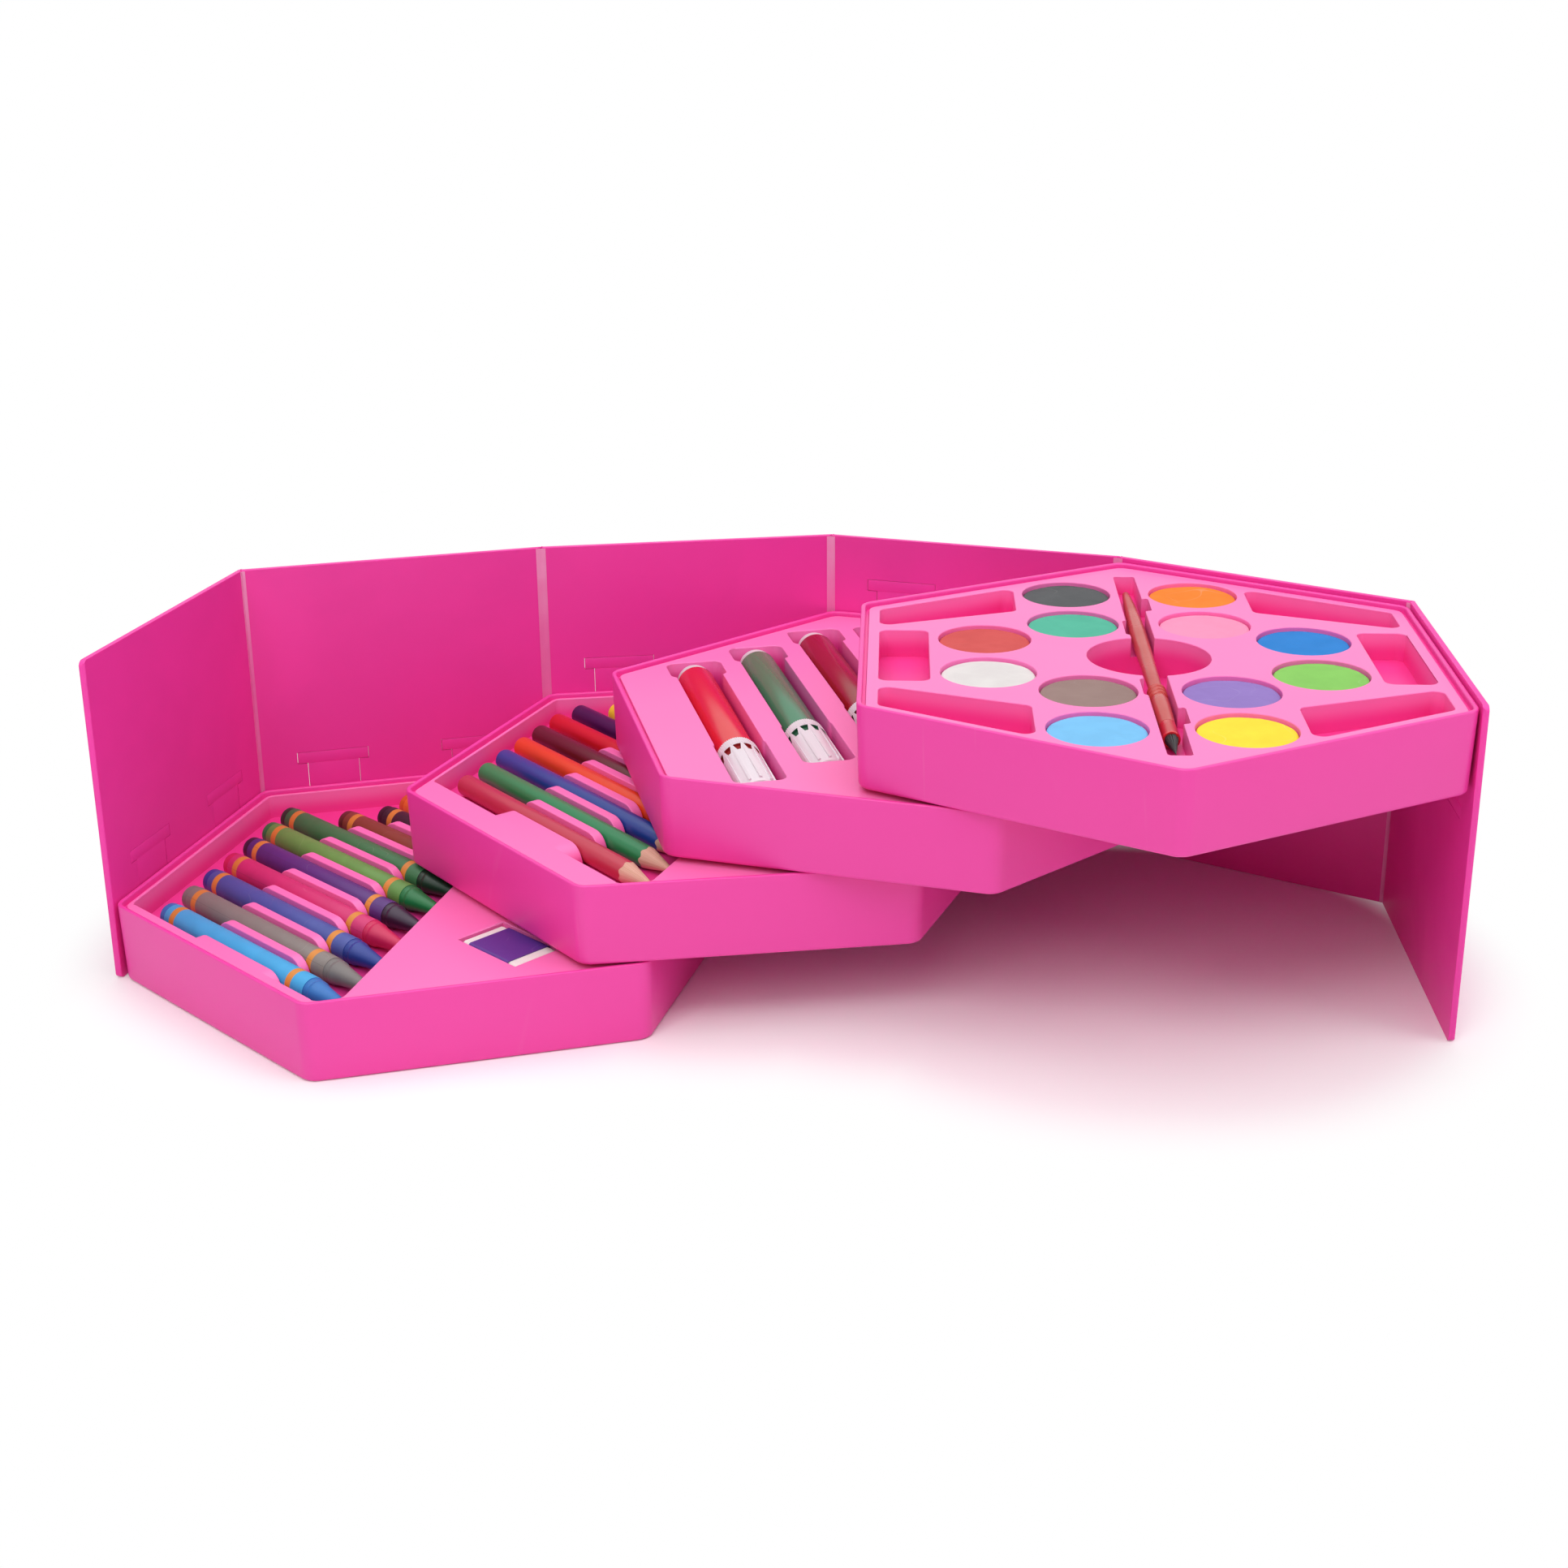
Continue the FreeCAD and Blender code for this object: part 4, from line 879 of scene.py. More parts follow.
rolls = random.Random(4)
crayons = [node for node in NODES if node.startswith("crayon_")]
for node in sorted(crayons):
    paper, wax = (screen(*shade) for shade in CRAYON_COLOURS[node.split("_", 2)[2]])
    mesh = as_mesh(node + "_dressed", turned(crayon_profile()))
    roll = Matrix.Rotation(rolls.uniform(0, 2 * math.pi), 4, "X")
    mesh.transform(lane_place(node, LANES[0]) @ roll)
    finishes = [paper_finish(node + "_paper", paper), wax_finish(node + "_wax", wax)]
    piece(node + "_dressed", mesh, finishes, node)
print("crayons:", len(crayons))

# %% [markdown]
# ## Coloured pencils
# The pencils are round, dipped in glossy lacquer, and sharpened so that the cone shows bare wood
# between a faintly scalloped lacquer edge and the coloured lead. One material per pencil reads the
# place along the stick and switches between the three, so the edges between them can wander as a
# sharpener leaves them.

# %% Pencil finishes
PENCIL = {"cone": 12.0, "lead": 2.5}
PENCIL_LENGTH = lane_length("pencil_01_rose", LANES[1])
PENCIL_BARREL = PENCIL_LENGTH - sum(PENCIL.values())
PENCIL_RADIUS = 3.6
WOOD = screen(230, 184, 166)
PENCIL_COLOURS = {
    "rose": (190, 52, 76), "green": (30, 128, 76), "blue": (30, 60, 142), "orange": (228, 66, 22),
    "maroon": (92, 22, 30), "red": (204, 22, 32), "navy": (46, 12, 70), "yellow": (246, 208, 40),
    "light_blue": (70, 170, 226), "brown": (122, 66, 38), "pink": (240, 120, 170), "black": (34, 30, 34)}


def pencil_finish(name, colour):
    """Lacquer, then wood with fine grain lines, then lead, along the pencil."""
    finish, tree, shader, where = new_finish(name)
    along, around = along_stick(tree, where, PENCIL_LENGTH)
    lobes = math_node(tree, "SINE", math_node(tree, "MULTIPLY", around, 2 * math.pi * 7))
    wander = math_node(tree, "MULTIPLY_ADD", lobes, 0.35, PENCIL_BARREL + 0.35)
    ragged = math_node(tree, "MULTIPLY_ADD", noise_node(tree, where["Object"], 700.0), 0.5, wander)
    past_lacquer = ramp_node(tree, math_node(tree, "SUBTRACT", along, ragged), -0.08, 0.08)
    lead_line = math_node(tree, "MULTIPLY_ADD", noise_node(tree, where["Object"], 900.0), 0.8,
                          PENCIL_LENGTH - PENCIL["lead"] - 0.4)
    past_wood = ramp_node(tree, math_node(tree, "SUBTRACT", along, lead_line), -0.08, 0.08)
    skin = group_node(tree, MOULDED_SKIN, Vector=where["Object"], Colour=colour, Mottle=0.05,
                      Cloud_Scale=60.0, Grain_Scale=1200.0, Roughness=0.32)
    stretch = tree.nodes.new("ShaderNodeMapping")
    stretch.inputs["Scale"].default_value = (60.0, 1.2, 1.0)
    tree.links.new(where["UV"], stretch.inputs["Vector"])
    fibre = noise_node(tree, stretch.outputs["Vector"], 3.0, 3.0)
    timber = mix_node(tree, ramp_node(tree, fibre, 0.35, 0.7), WOOD, screen(198, 146, 120))
    bare = mix_node(tree, past_lacquer, skin["Colour"], timber)
    tree.links.new(mix_node(tree, past_wood, bare, colour), shader["Base Color"])
    dull = math_node(tree, "MULTIPLY_ADD", past_lacquer, 0.4, skin["Roughness"])
    tree.links.new(dull, shader["Roughness"])
    step = math_node(tree, "MULTIPLY", math_node(tree, "SUBTRACT", fibre, 1.0), past_lacquer)
    bump(tree, step, shader, 0.4, 0.06)
    return finish


def pencil_profile():
    """Rows for a pencil: dipped end, barrel, cone and lead."""
    barrel = PENCIL_BARREL
    cone = barrel + PENCIL["cone"]
    rows = [(0.0, 2.4, 0), (0.1, 3.1, 0), (0.45, 3.48, 0), (1.0, PENCIL_RADIUS, 0),
            (barrel, PENCIL_RADIUS, 0)]
    rows += [(barrel + PENCIL["cone"] * step / 6, PENCIL_RADIUS + (0.9 - PENCIL_RADIUS) * step / 6, 0)
             for step in range(1, 7)]
    return rows + [(cone + 1.8, 0.42, 0), (cone + 2.3, 0.25, 0), (PENCIL_LENGTH, 0.1, 0)]


pencils = sorted(node for node in NODES if node.startswith("pencil_"))
for node in pencils:
    colour = screen(*PENCIL_COLOURS[node.split("_", 2)[2]])
    mesh = as_mesh(node + "_dressed", turned(pencil_profile()))
    roll = Matrix.Rotation(rolls.uniform(0, 2 * math.pi), 4, "X")
    mesh.transform(lane_place(node, LANES[1]) @ roll)
    piece(node + "_dressed", mesh, [pencil_finish(node + "_lacquer", colour)], node)
print("pencils:", len(pencils))

# %% [markdown]
# ## Eraser and sharpener
# The eraser is a soft white block in a plain card sleeve. The sharpener is a small block with a
# blade held by a screw. Both lie half hidden in the lowest tray, so soft-edged copies of the solids
# carry them, each with its own finish.

# %% Eraser
ERASER_EDGE = 0.7
RUBBER = skin_finish("eraser_rubber", screen(238, 232, 228), mottle=0.12, cloud=140.0, grain=1800.0,
                     rough=0.75, depth=0.04)
CARD = skin_finish("eraser_card", screen(86, 46, 140), mottle=0.2, cloud=60.0, grain=2200.0, rough=0.45,
                   scuff=0.15, scuff_scale=120.0)
piece("eraser_block", softened("eraser_block", "eraser", ERASER_EDGE, sharp_ridge), [RUBBER], "eraser")
piece("eraser_card", as_mesh("eraser_card", merged_copy("eraser_sleeve")), [CARD], "eraser_sleeve")

# %% Sharpener
WEDGE_EDGE = 0.2
BLADE_EDGE = 0.08
SHARPENER_RED = skin_finish("sharpener_red", screen(206, 26, 40), mottle=0.15, cloud=80.0, rough=0.3)
STEEL = skin_finish("blade_steel", screen(196, 198, 202), mottle=0.2, cloud=220.0, grain=3000.0, rough=0.3,
                    depth=0.01, Metallic=1.0)
wedge = softened("sharpener_wedge", "sharpener_body", WEDGE_EDGE, sharp_ridge)
piece("sharpener_wedge", wedge, [SHARPENER_RED], "sharpener_body")
blade = softened("sharpener_steel", "sharpener_blade", BLADE_EDGE, sharp_ridge, 2)
piece("sharpener_steel", blade, [STEEL], "sharpener_blade")

# %% [markdown]
# ## Felt pens
# A pen is a white rear plug, a glossy coloured barrel and a white cap. The cap is what tells it
# from a stick: a knurled edge, a ring of small vents whose insides take the barrel's colour,
# darkened as painted shade, and lengthwise ribs. Knurls and ribs are the same thing, bars round a
# ring, so one Geometry Nodes tree with a count and sizes makes both.

# %% Geometry Nodes helpers
def maker_tree(name, inputs):
    """An empty Geometry Nodes tree with named inputs, and their sockets."""
    tree = bpy.data.node_groups.new(name, "GeometryNodeTree")
    tree.interface.new_socket("Geometry", in_out="OUTPUT", socket_type="NodeSocketGeometry")
    for label, kind in inputs:
        tree.interface.new_socket(label, in_out="INPUT", socket_type="NodeSocket" + kind)
    return tree, tree.nodes.new("NodeGroupInput").outputs


def close_tree(tree, instances, finish):
    """Ends a tree: real geometry in place of instances, in one finish."""
    real = tree.nodes.new("GeometryNodeRealizeInstances")
    tree.links.new(instances, real.inputs[0])
    painted = tree.nodes.new("GeometryNodeSetMaterial")
    tree.links.new(real.outputs[0], painted.inputs["Geometry"])
    tree.links.new(finish, painted.inputs["Material"])
    tree.links.new(painted.outputs[0], tree.nodes.new("NodeGroupOutput").inputs[0])
    return tree


def grown(name, tree, **values):
    """The mesh that a Geometry Nodes tree makes with the given inputs. Underscores stand for spaces."""
    draft = bpy.data.objects.new(name + "_draft", bpy.data.meshes.new(name + "_draft"))
    bpy.context.scene.collection.objects.link(draft)
    maker = draft.modifiers.new("maker", "NODES")
    maker.node_group = tree
    sockets = {item.name: item.identifier for item in tree.interface.items_tree if item.in_out == "INPUT"}
    for label, value in values.items():
        maker[sockets[label.replace("_", " ")]] = value
    mesh = evaluated(draft)
    mesh.name = name
    bpy.data.objects.remove(draft)
    print("%s: %d faces grown" % (name, len(mesh.polygons)))
    return mesh


print("helpers ready: maker_tree, close_tree, grown")


# %% Bars round a ring
def ring_of_bars_tree():
    """Bars that stand round the Z axis: count, ring radius, place, and the three sizes of a bar."""
    tree, given = maker_tree("ring_of_bars", (
        ("Count", "Int"), ("Ring Radius", "Float"), ("Place", "Float"), ("Length", "Float"),
        ("Width", "Float"), ("Height", "Float"), ("Finish", "Material")))
    nodes, links = tree.nodes, tree.links
    ring = nodes.new("GeometryNodeMeshCircle")
    links.new(given["Count"], ring.inputs["Vertices"])
    links.new(given["Ring Radius"], ring.inputs["Radius"])
    size = nodes.new("ShaderNodeCombineXYZ")
    for axis, label in zip("XYZ", ("Height", "Width", "Length")):
        links.new(given[label], size.inputs[axis])
    bar = nodes.new("GeometryNodeMeshCube")
    links.new(size.outputs[0], bar.inputs["Size"])
    outward = nodes.new("FunctionNodeAlignRotationToVector")
    outward.axis = "X"
    links.new(nodes.new("GeometryNodeInputPosition").outputs[0], outward.inputs["Vector"])
    bars = nodes.new("GeometryNodeInstanceOnPoints")
    links.new(ring.outputs["Mesh"], bars.inputs["Points"])
    links.new(bar.outputs["Mesh"], bars.inputs["Instance"])
    links.new(outward.outputs[0], bars.inputs["Rotation"])
    lift = nodes.new("ShaderNodeCombineXYZ")
    links.new(given["Place"], lift.inputs["Z"])
    moved = nodes.new("GeometryNodeTransform")
    links.new(bars.outputs["Instances"], moved.inputs["Geometry"])
    links.new(lift.outputs[0], moved.inputs["Translation"])
    return close_tree(tree, moved.outputs[0], given["Finish"])


RING_OF_BARS = ring_of_bars_tree()
print("tree ready:", RING_OF_BARS.name)

# %% Felt pen finishes
# painted shade: the inside of each vent takes the barrel's colour darkened by this factor
VENT_PAINTED_SHADE = 0.35        # how dark the barrel's colour looks inside a vent
PEN_WHITE = skin_finish("pen_white", screen(230, 218, 225), mottle=0.06, cloud=60.0, rough=0.35)
PEN_COLOURS = ((226, 22, 34), (34, 126, 82), (152, 18, 20), (30, 70, 170), (245, 200, 30), (40, 34, 40))
BARRELS = [skin_finish("pen_barrel_%d" % (index + 1), screen(*shade), mottle=0.1, cloud=40.0, rough=0.2,
                       depth=0.008) for index, shade in enumerate(PEN_COLOURS)]
# the barrel colours darkened as painted shade, one for the vents of each pen
VENT_SHADED_COLOURS = [tuple(level * VENT_PAINTED_SHADE for level in screen(*shade)[:3]) + (1.0,) for shade in PEN_COLOURS]
VENTS = [skin_finish("pen_vent_%d" % number, shade, rough=0.6)
         for number, shade in enumerate(VENT_SHADED_COLOURS, start=1)]
print("pen colours:", len(BARRELS))

# %% Cap body with vents
PEN = {"plug": 5.0, "barrel": 74.0, "cap": 36.0}
PEN_RADIUS = 6.4
CAP_RADIUS = (6.8, 6.1)
KNURL_LENGTH = 4.4
VENT_COUNT = 12
VENT_ALONG = (5.0, 9.6)
VENT_STEPS = 6           # of the eight sides of the cap between one vent and the next
VENT_TAPER = 1.7         # how far each side of a vent leans in towards the cap's end, in sides
VENT_DEPTH = 0.9
VENT_DRAFT = 0.04
CAP_SIDES = 96


def cap_radius(along):
    """The cap's outer radius at a place along it, in millimetres."""
    return CAP_RADIUS[0] + (CAP_RADIUS[1] - CAP_RADIUS[0]) * along / PEN["cap"]


def cap_side(point):
    """Which of the cap's sides a point lies on, counted round the axis with a fraction."""
    return (math.atan2(point.z, point.y) % (2 * math.pi)) / (2 * math.pi) * CAP_SIDES


def cap_form():
    """The cap's body with its tapered vents pressed in. Finish 1 is the inside of each vent, in the barrel's
    colour darkened as painted shade.
    """
    end = PEN["cap"]
    span = CAP_SIDES // VENT_COUNT
    rows = [(0.0, 5.5, 0), (0.0, 6.3, 0), (0.25, cap_radius(0), 0)]
    rows += [(along, cap_radius(along), 0) for along in (KNURL_LENGTH, *VENT_ALONG, end - 1.2)]
    rows += [(end - 0.35, cap_radius(end) - 0.3, 0), (end, cap_radius(end) - 1.1, 0)]
    form = turned(rows, CAP_SIDES)
    for corner in form.verts:
        if abs(corner.co.x / MM - VENT_ALONG[1]) < 0.01:
            place = round(cap_side(corner.co)) % span
            lean = VENT_TAPER * (1 - 2 * place / VENT_STEPS) if place <= VENT_STEPS else 0.0
            turn = Matrix.Rotation(2 * math.pi * lean / CAP_SIDES, 3, "X")
            corner.co = turn @ corner.co
    vents = []
    for face in form.faces:
        middle = face.calc_center_median()
        if VENT_ALONG[0] < middle.x / MM < VENT_ALONG[1] and cap_side(middle) % span < VENT_STEPS:
            vents.append(face)
    walls = bmesh.ops.inset_region(form, faces=vents, thickness=VENT_DRAFT * MM, depth=-VENT_DEPTH * MM,
                                   use_even_offset=False)["faces"]
    for face in vents + walls:
        face.material_index = 1
    return form


print("vents round a cap:", VENT_COUNT)

# %% Knurls and ribs of a cap
KNURL_COUNT = 60
KNURL_SIZE = (0.34, 0.3)     # width and height
KNURL_BACK = 0.1             # how far the knurls stay behind the cap's edge
RIB_SIZE = (0.75, 0.85)
RIB_SINK = 0.1
RIB_END = PEN["cap"] - 1.5
UPRIGHT_TO_LANE = Matrix.Rotation(math.pi / 2, 4, "Y")


def cap_meshes():
    """The body of a cap with its knurled edge and ribs, along +X from its open end."""
    knurl = grown("cap_knurl", RING_OF_BARS, Count=KNURL_COUNT,
                  Ring_Radius=cap_radius(KNURL_LENGTH / 2) * MM, Place=(KNURL_LENGTH / 2 + KNURL_BACK) * MM,
                  Length=KNURL_LENGTH * MM, Width=KNURL_SIZE[0] * MM, Height=KNURL_SIZE[1] * MM,
                  Finish=PEN_WHITE)
    middle = (VENT_ALONG[0] + RIB_END) / 2
    ribs = grown("cap_ribs", RING_OF_BARS, Count=VENT_COUNT,
                 Ring_Radius=(cap_radius(middle) - RIB_SINK) * MM, Place=middle * MM,
                 Length=(RIB_END - VENT_ALONG[0]) * MM, Width=RIB_SIZE[0] * MM, Height=RIB_SIZE[1] * MM,
                 Finish=PEN_WHITE)
    between = (VENT_STEPS + CAP_SIDES / VENT_COUNT) / 2
    ribs.transform(Matrix.Rotation(math.radians(360 / CAP_SIDES * between), 4, "Z"))
    for mesh in (knurl, ribs):
        mesh.transform(UPRIGHT_TO_LANE)
        mesh.polygons.foreach_set("material_index", [0] * len(mesh.polygons))
    return [as_mesh("cap_body", cap_form()), knurl, ribs]


cap_parts = cap_meshes()


# %% Felt pens
def barrel_rows():
    """A barrel: a fine step behind the cap and a soft shoulder at the plug."""
    end = PEN["barrel"]
    return [(0.0, 6.1, 0), (0.25, 6.32, 0), (0.7, PEN_RADIUS, 0), (end - 0.01, PEN_RADIUS, 0), (end, 5.6, 0)]


def plug_rows():
    """A rear plug: a shallow dome with a small flat, and a collar at the barrel."""
    return [(0.0, 4.2, 0), (0.25, 5.0, 0), (0.8, 5.55, 0), (1.8, 5.85, 0), (3.4, 5.9, 0), (3.6, 6.0, 0),
            (5.0, 6.0, 0)]


def pen_starts():
    """Where each of the six pens begins, from the six plugs of the group, in order across the tray."""
    local = in_lanes("marker_plugs", LANES[2])
    order = local[np.argsort(local[:, 1])]
    breaks = np.where(np.diff(order[:, 1]) > PEN_RADIUS * MM)[0] + 1
    starts = []
    for group in np.split(order, breaks):
        low, high = group.min(axis=0), group.max(axis=0)
        starts.append(LANES[2] @ Matrix.Translation((low[0], (low[1] + high[1]) / 2, (low[2] + high[2]) / 2)))
    return starts


plugs, barrels, caps = [], [], []
for index, start in enumerate(pen_starts()):
    plug = as_mesh("plug", turned(plug_rows()))
    plug.transform(start)
    plugs.append(plug)
    barrel = as_mesh("barrel", turned(barrel_rows(), 64))
    barrel.polygons.foreach_set("material_index", [index] * len(barrel.polygons))
    barrel.transform(start @ Matrix.Translation((PEN["plug"] * MM, 0, 0)))
    barrels.append(barrel)
    for part in cap_parts:
        copy = part.copy()
        numbers = [index + 1 if face.material_index else 0 for face in copy.polygons]
        copy.polygons.foreach_set("material_index", numbers)
        copy.transform(start @ Matrix.Translation(((PEN["plug"] + PEN["barrel"]) * MM, 0, 0)))
        caps.append(copy)
piece("pen_plugs", joined("pen_plugs", plugs), [PEN_WHITE], "marker_plugs")
piece("pen_barrels", joined("pen_barrels", barrels), BARRELS, "marker_barrels")
piece("pen_caps", joined("pen_caps", caps), [PEN_WHITE] + VENTS, "marker_caps")
print("felt pens:", len(plugs))

# %% [markdown]
# ## Paint cakes
# Twelve discs of pressed paint sit in round cups, just below the plate. Pressed powder is never
# quite flat: the top is a little uneven, its edge slightly chipped, with pale rubbed marks. Each
# disc is a set of rings whose points are moved by a noise field, with a seed of its own.

# %% Paint cakes
CAKE_RADIUS = float(np.ptp(corners("paint_black")[:, 0])) / MM / 2
CAKE_RINGS = 14
CAKE_SIDES = 96
CAKE_RISE = 0.6          # the pressed paint swells a little
CAKE_WAVE = (0.14, 130)  # height of the uneven top in millimetres, and how tight its waves are
CAKE_GRIT = (0.07, 420)
CAKE_SETTLE = 0.16       # the top sinks by this much
CAKE_COLOURS = {
    "black": (72, 74, 76), "orange": (242, 130, 34), "teal": (78, 178, 150), "light_pink": (250, 148, 186),
    "brick_red": (204, 78, 76), "blue": (30, 126, 205), "white": (224, 219, 217), "green": (132, 198, 92),
    "umber": (146, 120, 114), "lavender": (142, 116, 188), "light_blue": (118, 190, 236),
    "yellow": (242, 220, 52)}


def cake_finish(name, colour):
    """Pressed powder: matte, mottled, with pale rubbed marks."""
    pale = tuple(0.4 + 0.6 * level for level in colour[:3]) + (1.0,)
    return skin_finish(name, colour, mottle=0.22, cloud=110.0, grain=1600.0, rough=0.82, depth=0.08,
                       scuff=0.25, scuff_colour=pale, scuff_scale=90.0)


def cake_mesh(name, low, high, seed):
    """A disc between two heights with an uneven top and a slightly chipped edge."""
    top, foot = high.z / MM + CAKE_RISE, low.z / MM
    rows = [(foot, CAKE_RADIUS - 0.4, 0), (foot + 0.5, CAKE_RADIUS, 0), (top - 0.7, CAKE_RADIUS, 0),
            (top - 0.25, CAKE_RADIUS - 0.15, 0), (top - 0.02, CAKE_RADIUS - 0.6, 0)]
    rows += [(top, (CAKE_RADIUS - 0.9) * (1 - ring / CAKE_RINGS), 0) for ring in range(CAKE_RINGS)]
    form = turned(rows + [(top, 0.05, 0)], CAKE_SIDES)
    turn = Matrix.Rotation(-math.pi / 2, 4, "Y")
    middle = Matrix.Translation(((low.x + high.x) / 2, (low.y + high.y) / 2, 0))
    bmesh.ops.transform(form, matrix=middle @ turn, verts=form.verts)
    for corner in form.verts:
        if corner.co.z > (top - 0.5) * MM:
            wave = noise.noise(corner.co * CAKE_WAVE[1] + Vector((seed * 7, 0, 0)))
            fine = noise.noise(corner.co * CAKE_GRIT[1] + Vector((0, seed * 5, 0)))
            corner.co.z += (CAKE_WAVE[0] * wave + CAKE_GRIT[0] * fine - CAKE_SETTLE) * MM
    return as_mesh(name, form)


for seed, (colour, shade) in enumerate(CAKE_COLOURS.items()):
    node = "paint_" + colour
    low, high = (Vector(corner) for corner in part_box(node))
    finish = cake_finish("cake_" + colour, screen(*shade))
    piece("cake_" + colour, cake_mesh("cake_" + colour, low, high, seed), [finish], node)
print("paint cakes:", len(CAKE_COLOURS))

# %% [markdown]
# ## The brush
# The brush is a moulded handle with a swell, a waist and three rings before the grip, a short
# ferrule of the same plastic, and a dark tuft. The handle is turned. The tuft is many tapered hairs,
# grown with Geometry Nodes from points on a small disc, with a fixed seed.

# %% Brush finishes and handle
BRUSH_RED = skin_finish("brush_red", screen(192, 66, 62), mottle=0.3, cloud=70.0, grain=1100.0, rough=0.32,
                        depth=0.03)
FERRULE_RED = skin_finish("ferrule_red", screen(206, 30, 40), mottle=0.15, cloud=80.0, rough=0.28)
HAIR = skin_finish("brush_hair", screen(34, 26, 30), mottle=0.3, cloud=300.0, rough=0.5)
BRUSH = {"swell": 46.0, "waist": 56.0, "ring": 1.6, "ring_gap": 1.2, "rings": 3, "grip": 24.0,
         "ferrule": 11.0, "tuft": 17.0}


def brush_handle_rows():
    """Rows for the handle, from its tail to the ferrule."""
    rows = [(0.0, 0.5, 0), (0.15, 0.9, 0), (0.6, 1.2, 0)]
    for step in range(1, 9):
        rows.append((BRUSH["swell"] * step / 8, 1.2 + 1.4 * math.sin(math.pi / 2 * step / 8), 0))
    for step in range(1, 9):
        share = step / 8
        rows.append((BRUSH["swell"] + BRUSH["waist"] * share, 2.35 + 0.25 * math.cos(math.pi * share), 0))
    along = BRUSH["swell"] + BRUSH["waist"]
    for ring in range(BRUSH["rings"]):
        for share, radius in ((0.05, 2.3), (0.2, 2.7), (0.5, 2.9), (0.8, 2.7), (0.95, 2.3)):
            rows.append((along + BRUSH["ring"] * share, radius, 0))
        along += BRUSH["ring"] + BRUSH["ring_gap"]
    along -= BRUSH["ring_gap"]
    for step in range(1, 7):
        share = step / 6
        rows.append((along + BRUSH["grip"] * share, 2.7 - 0.3 * share + 0.12 * math.sin(math.pi * share), 0))
    return rows


print("handle has", len(brush_handle_rows()), "rows")


# %% Tuft of hairs
def tuft_tree():
    """Tapered hairs that stand on a disc and lean together towards their tips."""
    tree, given = maker_tree("brush_tuft", (
        ("Radius", "Float"), ("Density", "Float"), ("Length", "Float"), ("Thickness", "Float"),
        ("Lean", "Float"), ("Seed", "Int"), ("Finish", "Material")))
    nodes, links = tree.nodes, tree.links
    disc = nodes.new("GeometryNodeMeshCircle")
    disc.fill_type = "NGON"
    links.new(given["Radius"], disc.inputs["Radius"])
    points = nodes.new("GeometryNodeDistributePointsOnFaces")
    links.new(disc.outputs["Mesh"], points.inputs["Mesh"])
    links.new(given["Density"], points.inputs["Density"])
    links.new(given["Seed"], points.inputs["Seed"])
    hair = nodes.new("GeometryNodeMeshCone")
    hair.inputs["Vertices"].default_value = 5
    hair.inputs["Side Segments"].default_value = 3
    links.new(given["Thickness"], hair.inputs["Radius Bottom"])
    links.new(given["Length"], hair.inputs["Depth"])
    inward = nodes.new("ShaderNodeVectorMath")
    inward.operation = "SCALE"
    links.new(nodes.new("GeometryNodeInputPosition").outputs[0], inward.inputs[0])
    links.new(given["Lean"], inward.inputs["Scale"])
    up = nodes.new("ShaderNodeVectorMath")
    up.operation = "ADD"
    up.inputs[1].default_value = (0.0, 0.0, 1.0)
    links.new(inward.outputs[0], up.inputs[0])
    lean = nodes.new("FunctionNodeAlignRotationToVector")
    lean.axis = "Z"
    links.new(up.outputs[0], lean.inputs["Vector"])
    spread = nodes.new("FunctionNodeRandomValue")
    spread.inputs[2].default_value = 0.8
    spread.inputs[3].default_value = 1.0
    links.new(given["Seed"], spread.inputs["Seed"])
    hairs = nodes.new("GeometryNodeInstanceOnPoints")
    links.new(points.outputs["Points"], hairs.inputs["Points"])
    links.new(hair.outputs["Mesh"], hairs.inputs["Instance"])
    links.new(lean.outputs[0], hairs.inputs["Rotation"])
    links.new(spread.outputs[1], hairs.inputs["Scale"])
    return close_tree(tree, hairs.outputs["Instances"], given["Finish"])


TUFT = tuft_tree()
print("tree ready:", TUFT.name)

# %% Brush
handle = as_mesh("brush_stick", turned(brush_handle_rows(), 40))
handle.transform(lane_place("brush_handle", LANES[3]))
piece("brush_stick", handle, [BRUSH_RED], "brush_handle")
ferrule_end = BRUSH["ferrule"]
collar_rows = [(0.0, 2.0, 0), (0.05, 2.35, 0), (0.4, 2.45, 0), (ferrule_end - 1.6, 2.45, 0),
               (ferrule_end - 1.3, 2.6, 0), (ferrule_end - 0.2, 2.6, 0), (ferrule_end, 2.4, 0)]
collar = as_mesh("brush_collar", turned(collar_rows, 40))
collar.transform(lane_place("brush_ferrule", LANES[3]))
piece("brush_collar", collar, [FERRULE_RED], "brush_ferrule")
TUFT_RADIUS = 1.95
HAIR_COUNT = 420
HAIR_THICK = 0.16
HAIR_LEAN = -85.0        # towards the middle, for each metre from it
HAIR_SEED = 11
area = math.pi * (TUFT_RADIUS * MM) ** 2
tuft = grown("brush_tuft", TUFT, Radius=TUFT_RADIUS * MM, Density=HAIR_COUNT / area,
             Length=BRUSH["tuft"] * MM, Thickness=HAIR_THICK * MM, Lean=HAIR_LEAN, Seed=HAIR_SEED,
             Finish=HAIR)
tuft.transform(lane_place("brush_bristles", LANES[3]) @ UPRIGHT_TO_LANE)
piece("brush_hairs", tuft, [HAIR], "brush_bristles")

# %% [markdown]
# ## Floor and light
# The box stands on a white sweep in soft light: a dim surround, a large lamp overhead, a weaker one
# from the front left and a weak one from the right. Away from the box the floor fades to plain white
# for the camera and in reflections, close to it the floor keeps the box's soft shadow and the pink
# light it throws.

# %% Floor
FLOOR_SIZE = 4.0
SHADOW_REACH = (0.093, 0.13)      # from the middle of the nearest tray


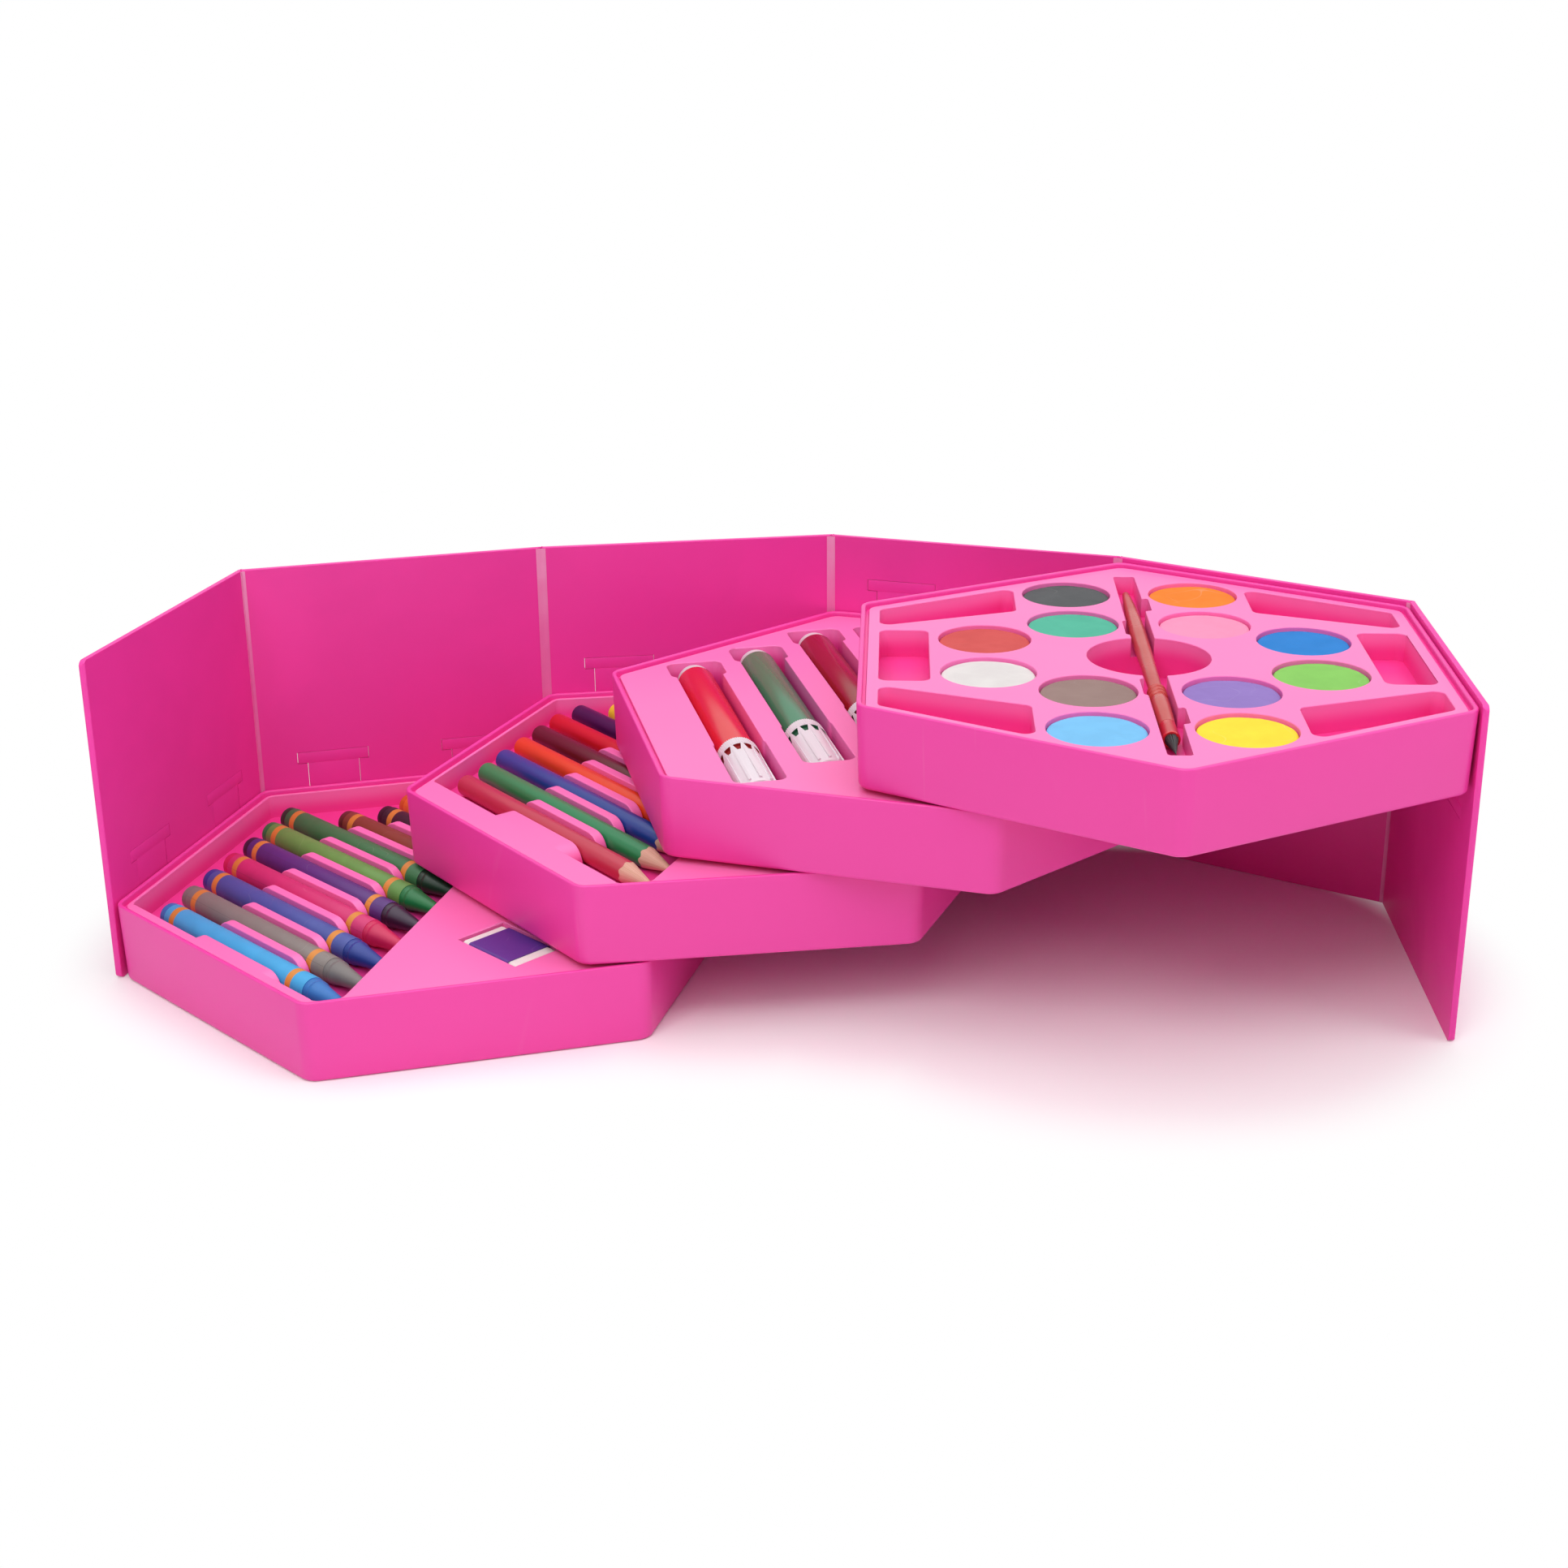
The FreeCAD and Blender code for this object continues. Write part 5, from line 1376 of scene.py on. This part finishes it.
def floor_finish():
    """White near the box, pure white for the camera further away."""
    finish, tree, shader, where = new_finish("studio_floor")
    shader["Base Color"].default_value = screen(251, 251, 251)
    shader["Roughness"].default_value = 0.9
    glow = tree.nodes.new("ShaderNodeEmission")
    glow.inputs["Strength"].default_value = 1.0
    nearest = FLOOR_SIZE
    for tier in TIERS:
        reach = tree.nodes.new("ShaderNodeVectorMath")
        reach.operation = "DISTANCE"
        reach.inputs[1].default_value = (tier[0][3], tier[1][3], 0.0)
        tree.links.new(where["Object"], reach.inputs[0])
        nearest = math_node(tree, "MINIMUM", reach.outputs["Value"], nearest)
    far = ramp_node(tree, nearest, *SHADOW_REACH)
    path = tree.nodes.new("ShaderNodeLightPath").outputs
    seen = math_node(tree, "MAXIMUM", path["Is Camera Ray"],
                     math_node(tree, "MAXIMUM", path["Is Glossy Ray"], path["Is Transmission Ray"]))
    mix = tree.nodes.new("ShaderNodeMixShader")
    tree.links.new(math_node(tree, "MULTIPLY", far, seen), mix.inputs[0])
    tree.links.new(tree.nodes["Principled BSDF"].outputs[0], mix.inputs[1])
    tree.links.new(glow.outputs[0], mix.inputs[2])
    tree.links.new(mix.outputs[0], tree.nodes["Material Output"].inputs["Surface"])
    return finish


sweep = bmesh.new()
bmesh.ops.create_grid(sweep, x_segments=1, y_segments=1, size=FLOOR_SIZE)
floor = bpy.data.objects.new("studio_floor", as_mesh("studio_floor", sweep))
bpy.context.scene.collection.objects.link(floor)
floor.data.materials.append(floor_finish())
print("floor is", 2 * FLOOR_SIZE, "m wide")

# %% Light
SURROUND = 0.18


def surround():
    """A dim even surround, plain white where the camera or a reflection looks past the floor."""
    world = bpy.data.worlds.new("studio")
    world.use_nodes = True
    tree = world.node_tree
    path = tree.nodes.new("ShaderNodeLightPath").outputs
    seen = math_node(tree, "MAXIMUM", path["Is Camera Ray"],
                     math_node(tree, "MAXIMUM", path["Is Glossy Ray"], path["Is Transmission Ray"]))
    strength = math_node(tree, "MULTIPLY_ADD", seen, 1.0 - SURROUND, SURROUND)
    tree.nodes["Background"].inputs["Color"].default_value = (1.0, 1.0, 1.0, 1.0)
    tree.links.new(strength, tree.nodes["Background"].inputs["Strength"])
    bpy.context.scene.world = world


def soft_lamp(name, place, aim, size, watts):
    """A square soft lamp that points at a spot."""
    lamp = bpy.data.lights.new(name, "AREA")
    lamp.shape = "SQUARE"
    lamp.size = size
    lamp.energy = watts
    shown = bpy.data.objects.new(name, lamp)
    shown.location = place
    shown.rotation_euler = (Vector(aim) - Vector(place)).to_track_quat("-Z", "Y").to_euler()
    bpy.context.scene.collection.objects.link(shown)


BOX_MIDDLE = tuple((low + high) / 2 for low, high in zip(*CAD_BOX))
LAMPS = (("top_lamp", (0.1, -0.15, 1.4), 2.2, 22.5),       # name, place, size and watts
         ("front_lamp", (-0.6, -1.0, 1.1), 0.9, 7.5),
         ("side_lamp", (1.2, -0.8, 0.8), 0.9, 4.0))
surround()
for name, place, size, watts in LAMPS:
    soft_lamp(name, place, BOX_MIDDLE, size, watts)
bpy.context.scene.view_settings.view_transform = "Standard"
print("surround", SURROUND, "and", len(LAMPS), "lamps")

# %% [markdown]
# ## Camera
# The camera repeats the photograph: its place and angles were fitted to the corners of the panels
# and trays. The focal length is given in pixels of the square picture and turned into a lens.

# %% Camera
PICTURE = 1932
FOCAL_PIXELS = 2893.0
CAMERA_AT = (-73.2, -715.3, 328.4)
CAMERA_PITCH = 21.05
CAMERA_YAW = 14.93
CAMERA_ROLL = -0.43


def photo_camera():
    """A camera at the fitted place, turned by yaw, pitch and roll."""
    pitch, yaw, roll = (math.radians(angle) for angle in (CAMERA_PITCH, CAMERA_YAW, CAMERA_ROLL))
    ahead = Vector((math.sin(yaw) * math.cos(pitch), math.cos(yaw) * math.cos(pitch), -math.sin(pitch)))
    level = Vector((math.cos(yaw), -math.sin(yaw), 0))
    up = level.cross(ahead)
    right = level * math.cos(roll) + up * math.sin(roll)
    top = up * math.cos(roll) - level * math.sin(roll)
    turn = Matrix((right, top, -ahead)).transposed().to_4x4()
    lens = bpy.data.cameras.new("photo_camera")
    lens.sensor_width = 36.0
    lens.lens = FOCAL_PIXELS / PICTURE * lens.sensor_width
    lens.clip_start = 0.01
    shown = bpy.data.objects.new("photo_camera", lens)
    shown.matrix_world = Matrix.Translation(Vector(CAMERA_AT) * MM) @ turn
    bpy.context.scene.collection.objects.link(shown)
    bpy.context.scene.camera = shown
    return shown


print("lens %.1f mm" % photo_camera().data.lens)
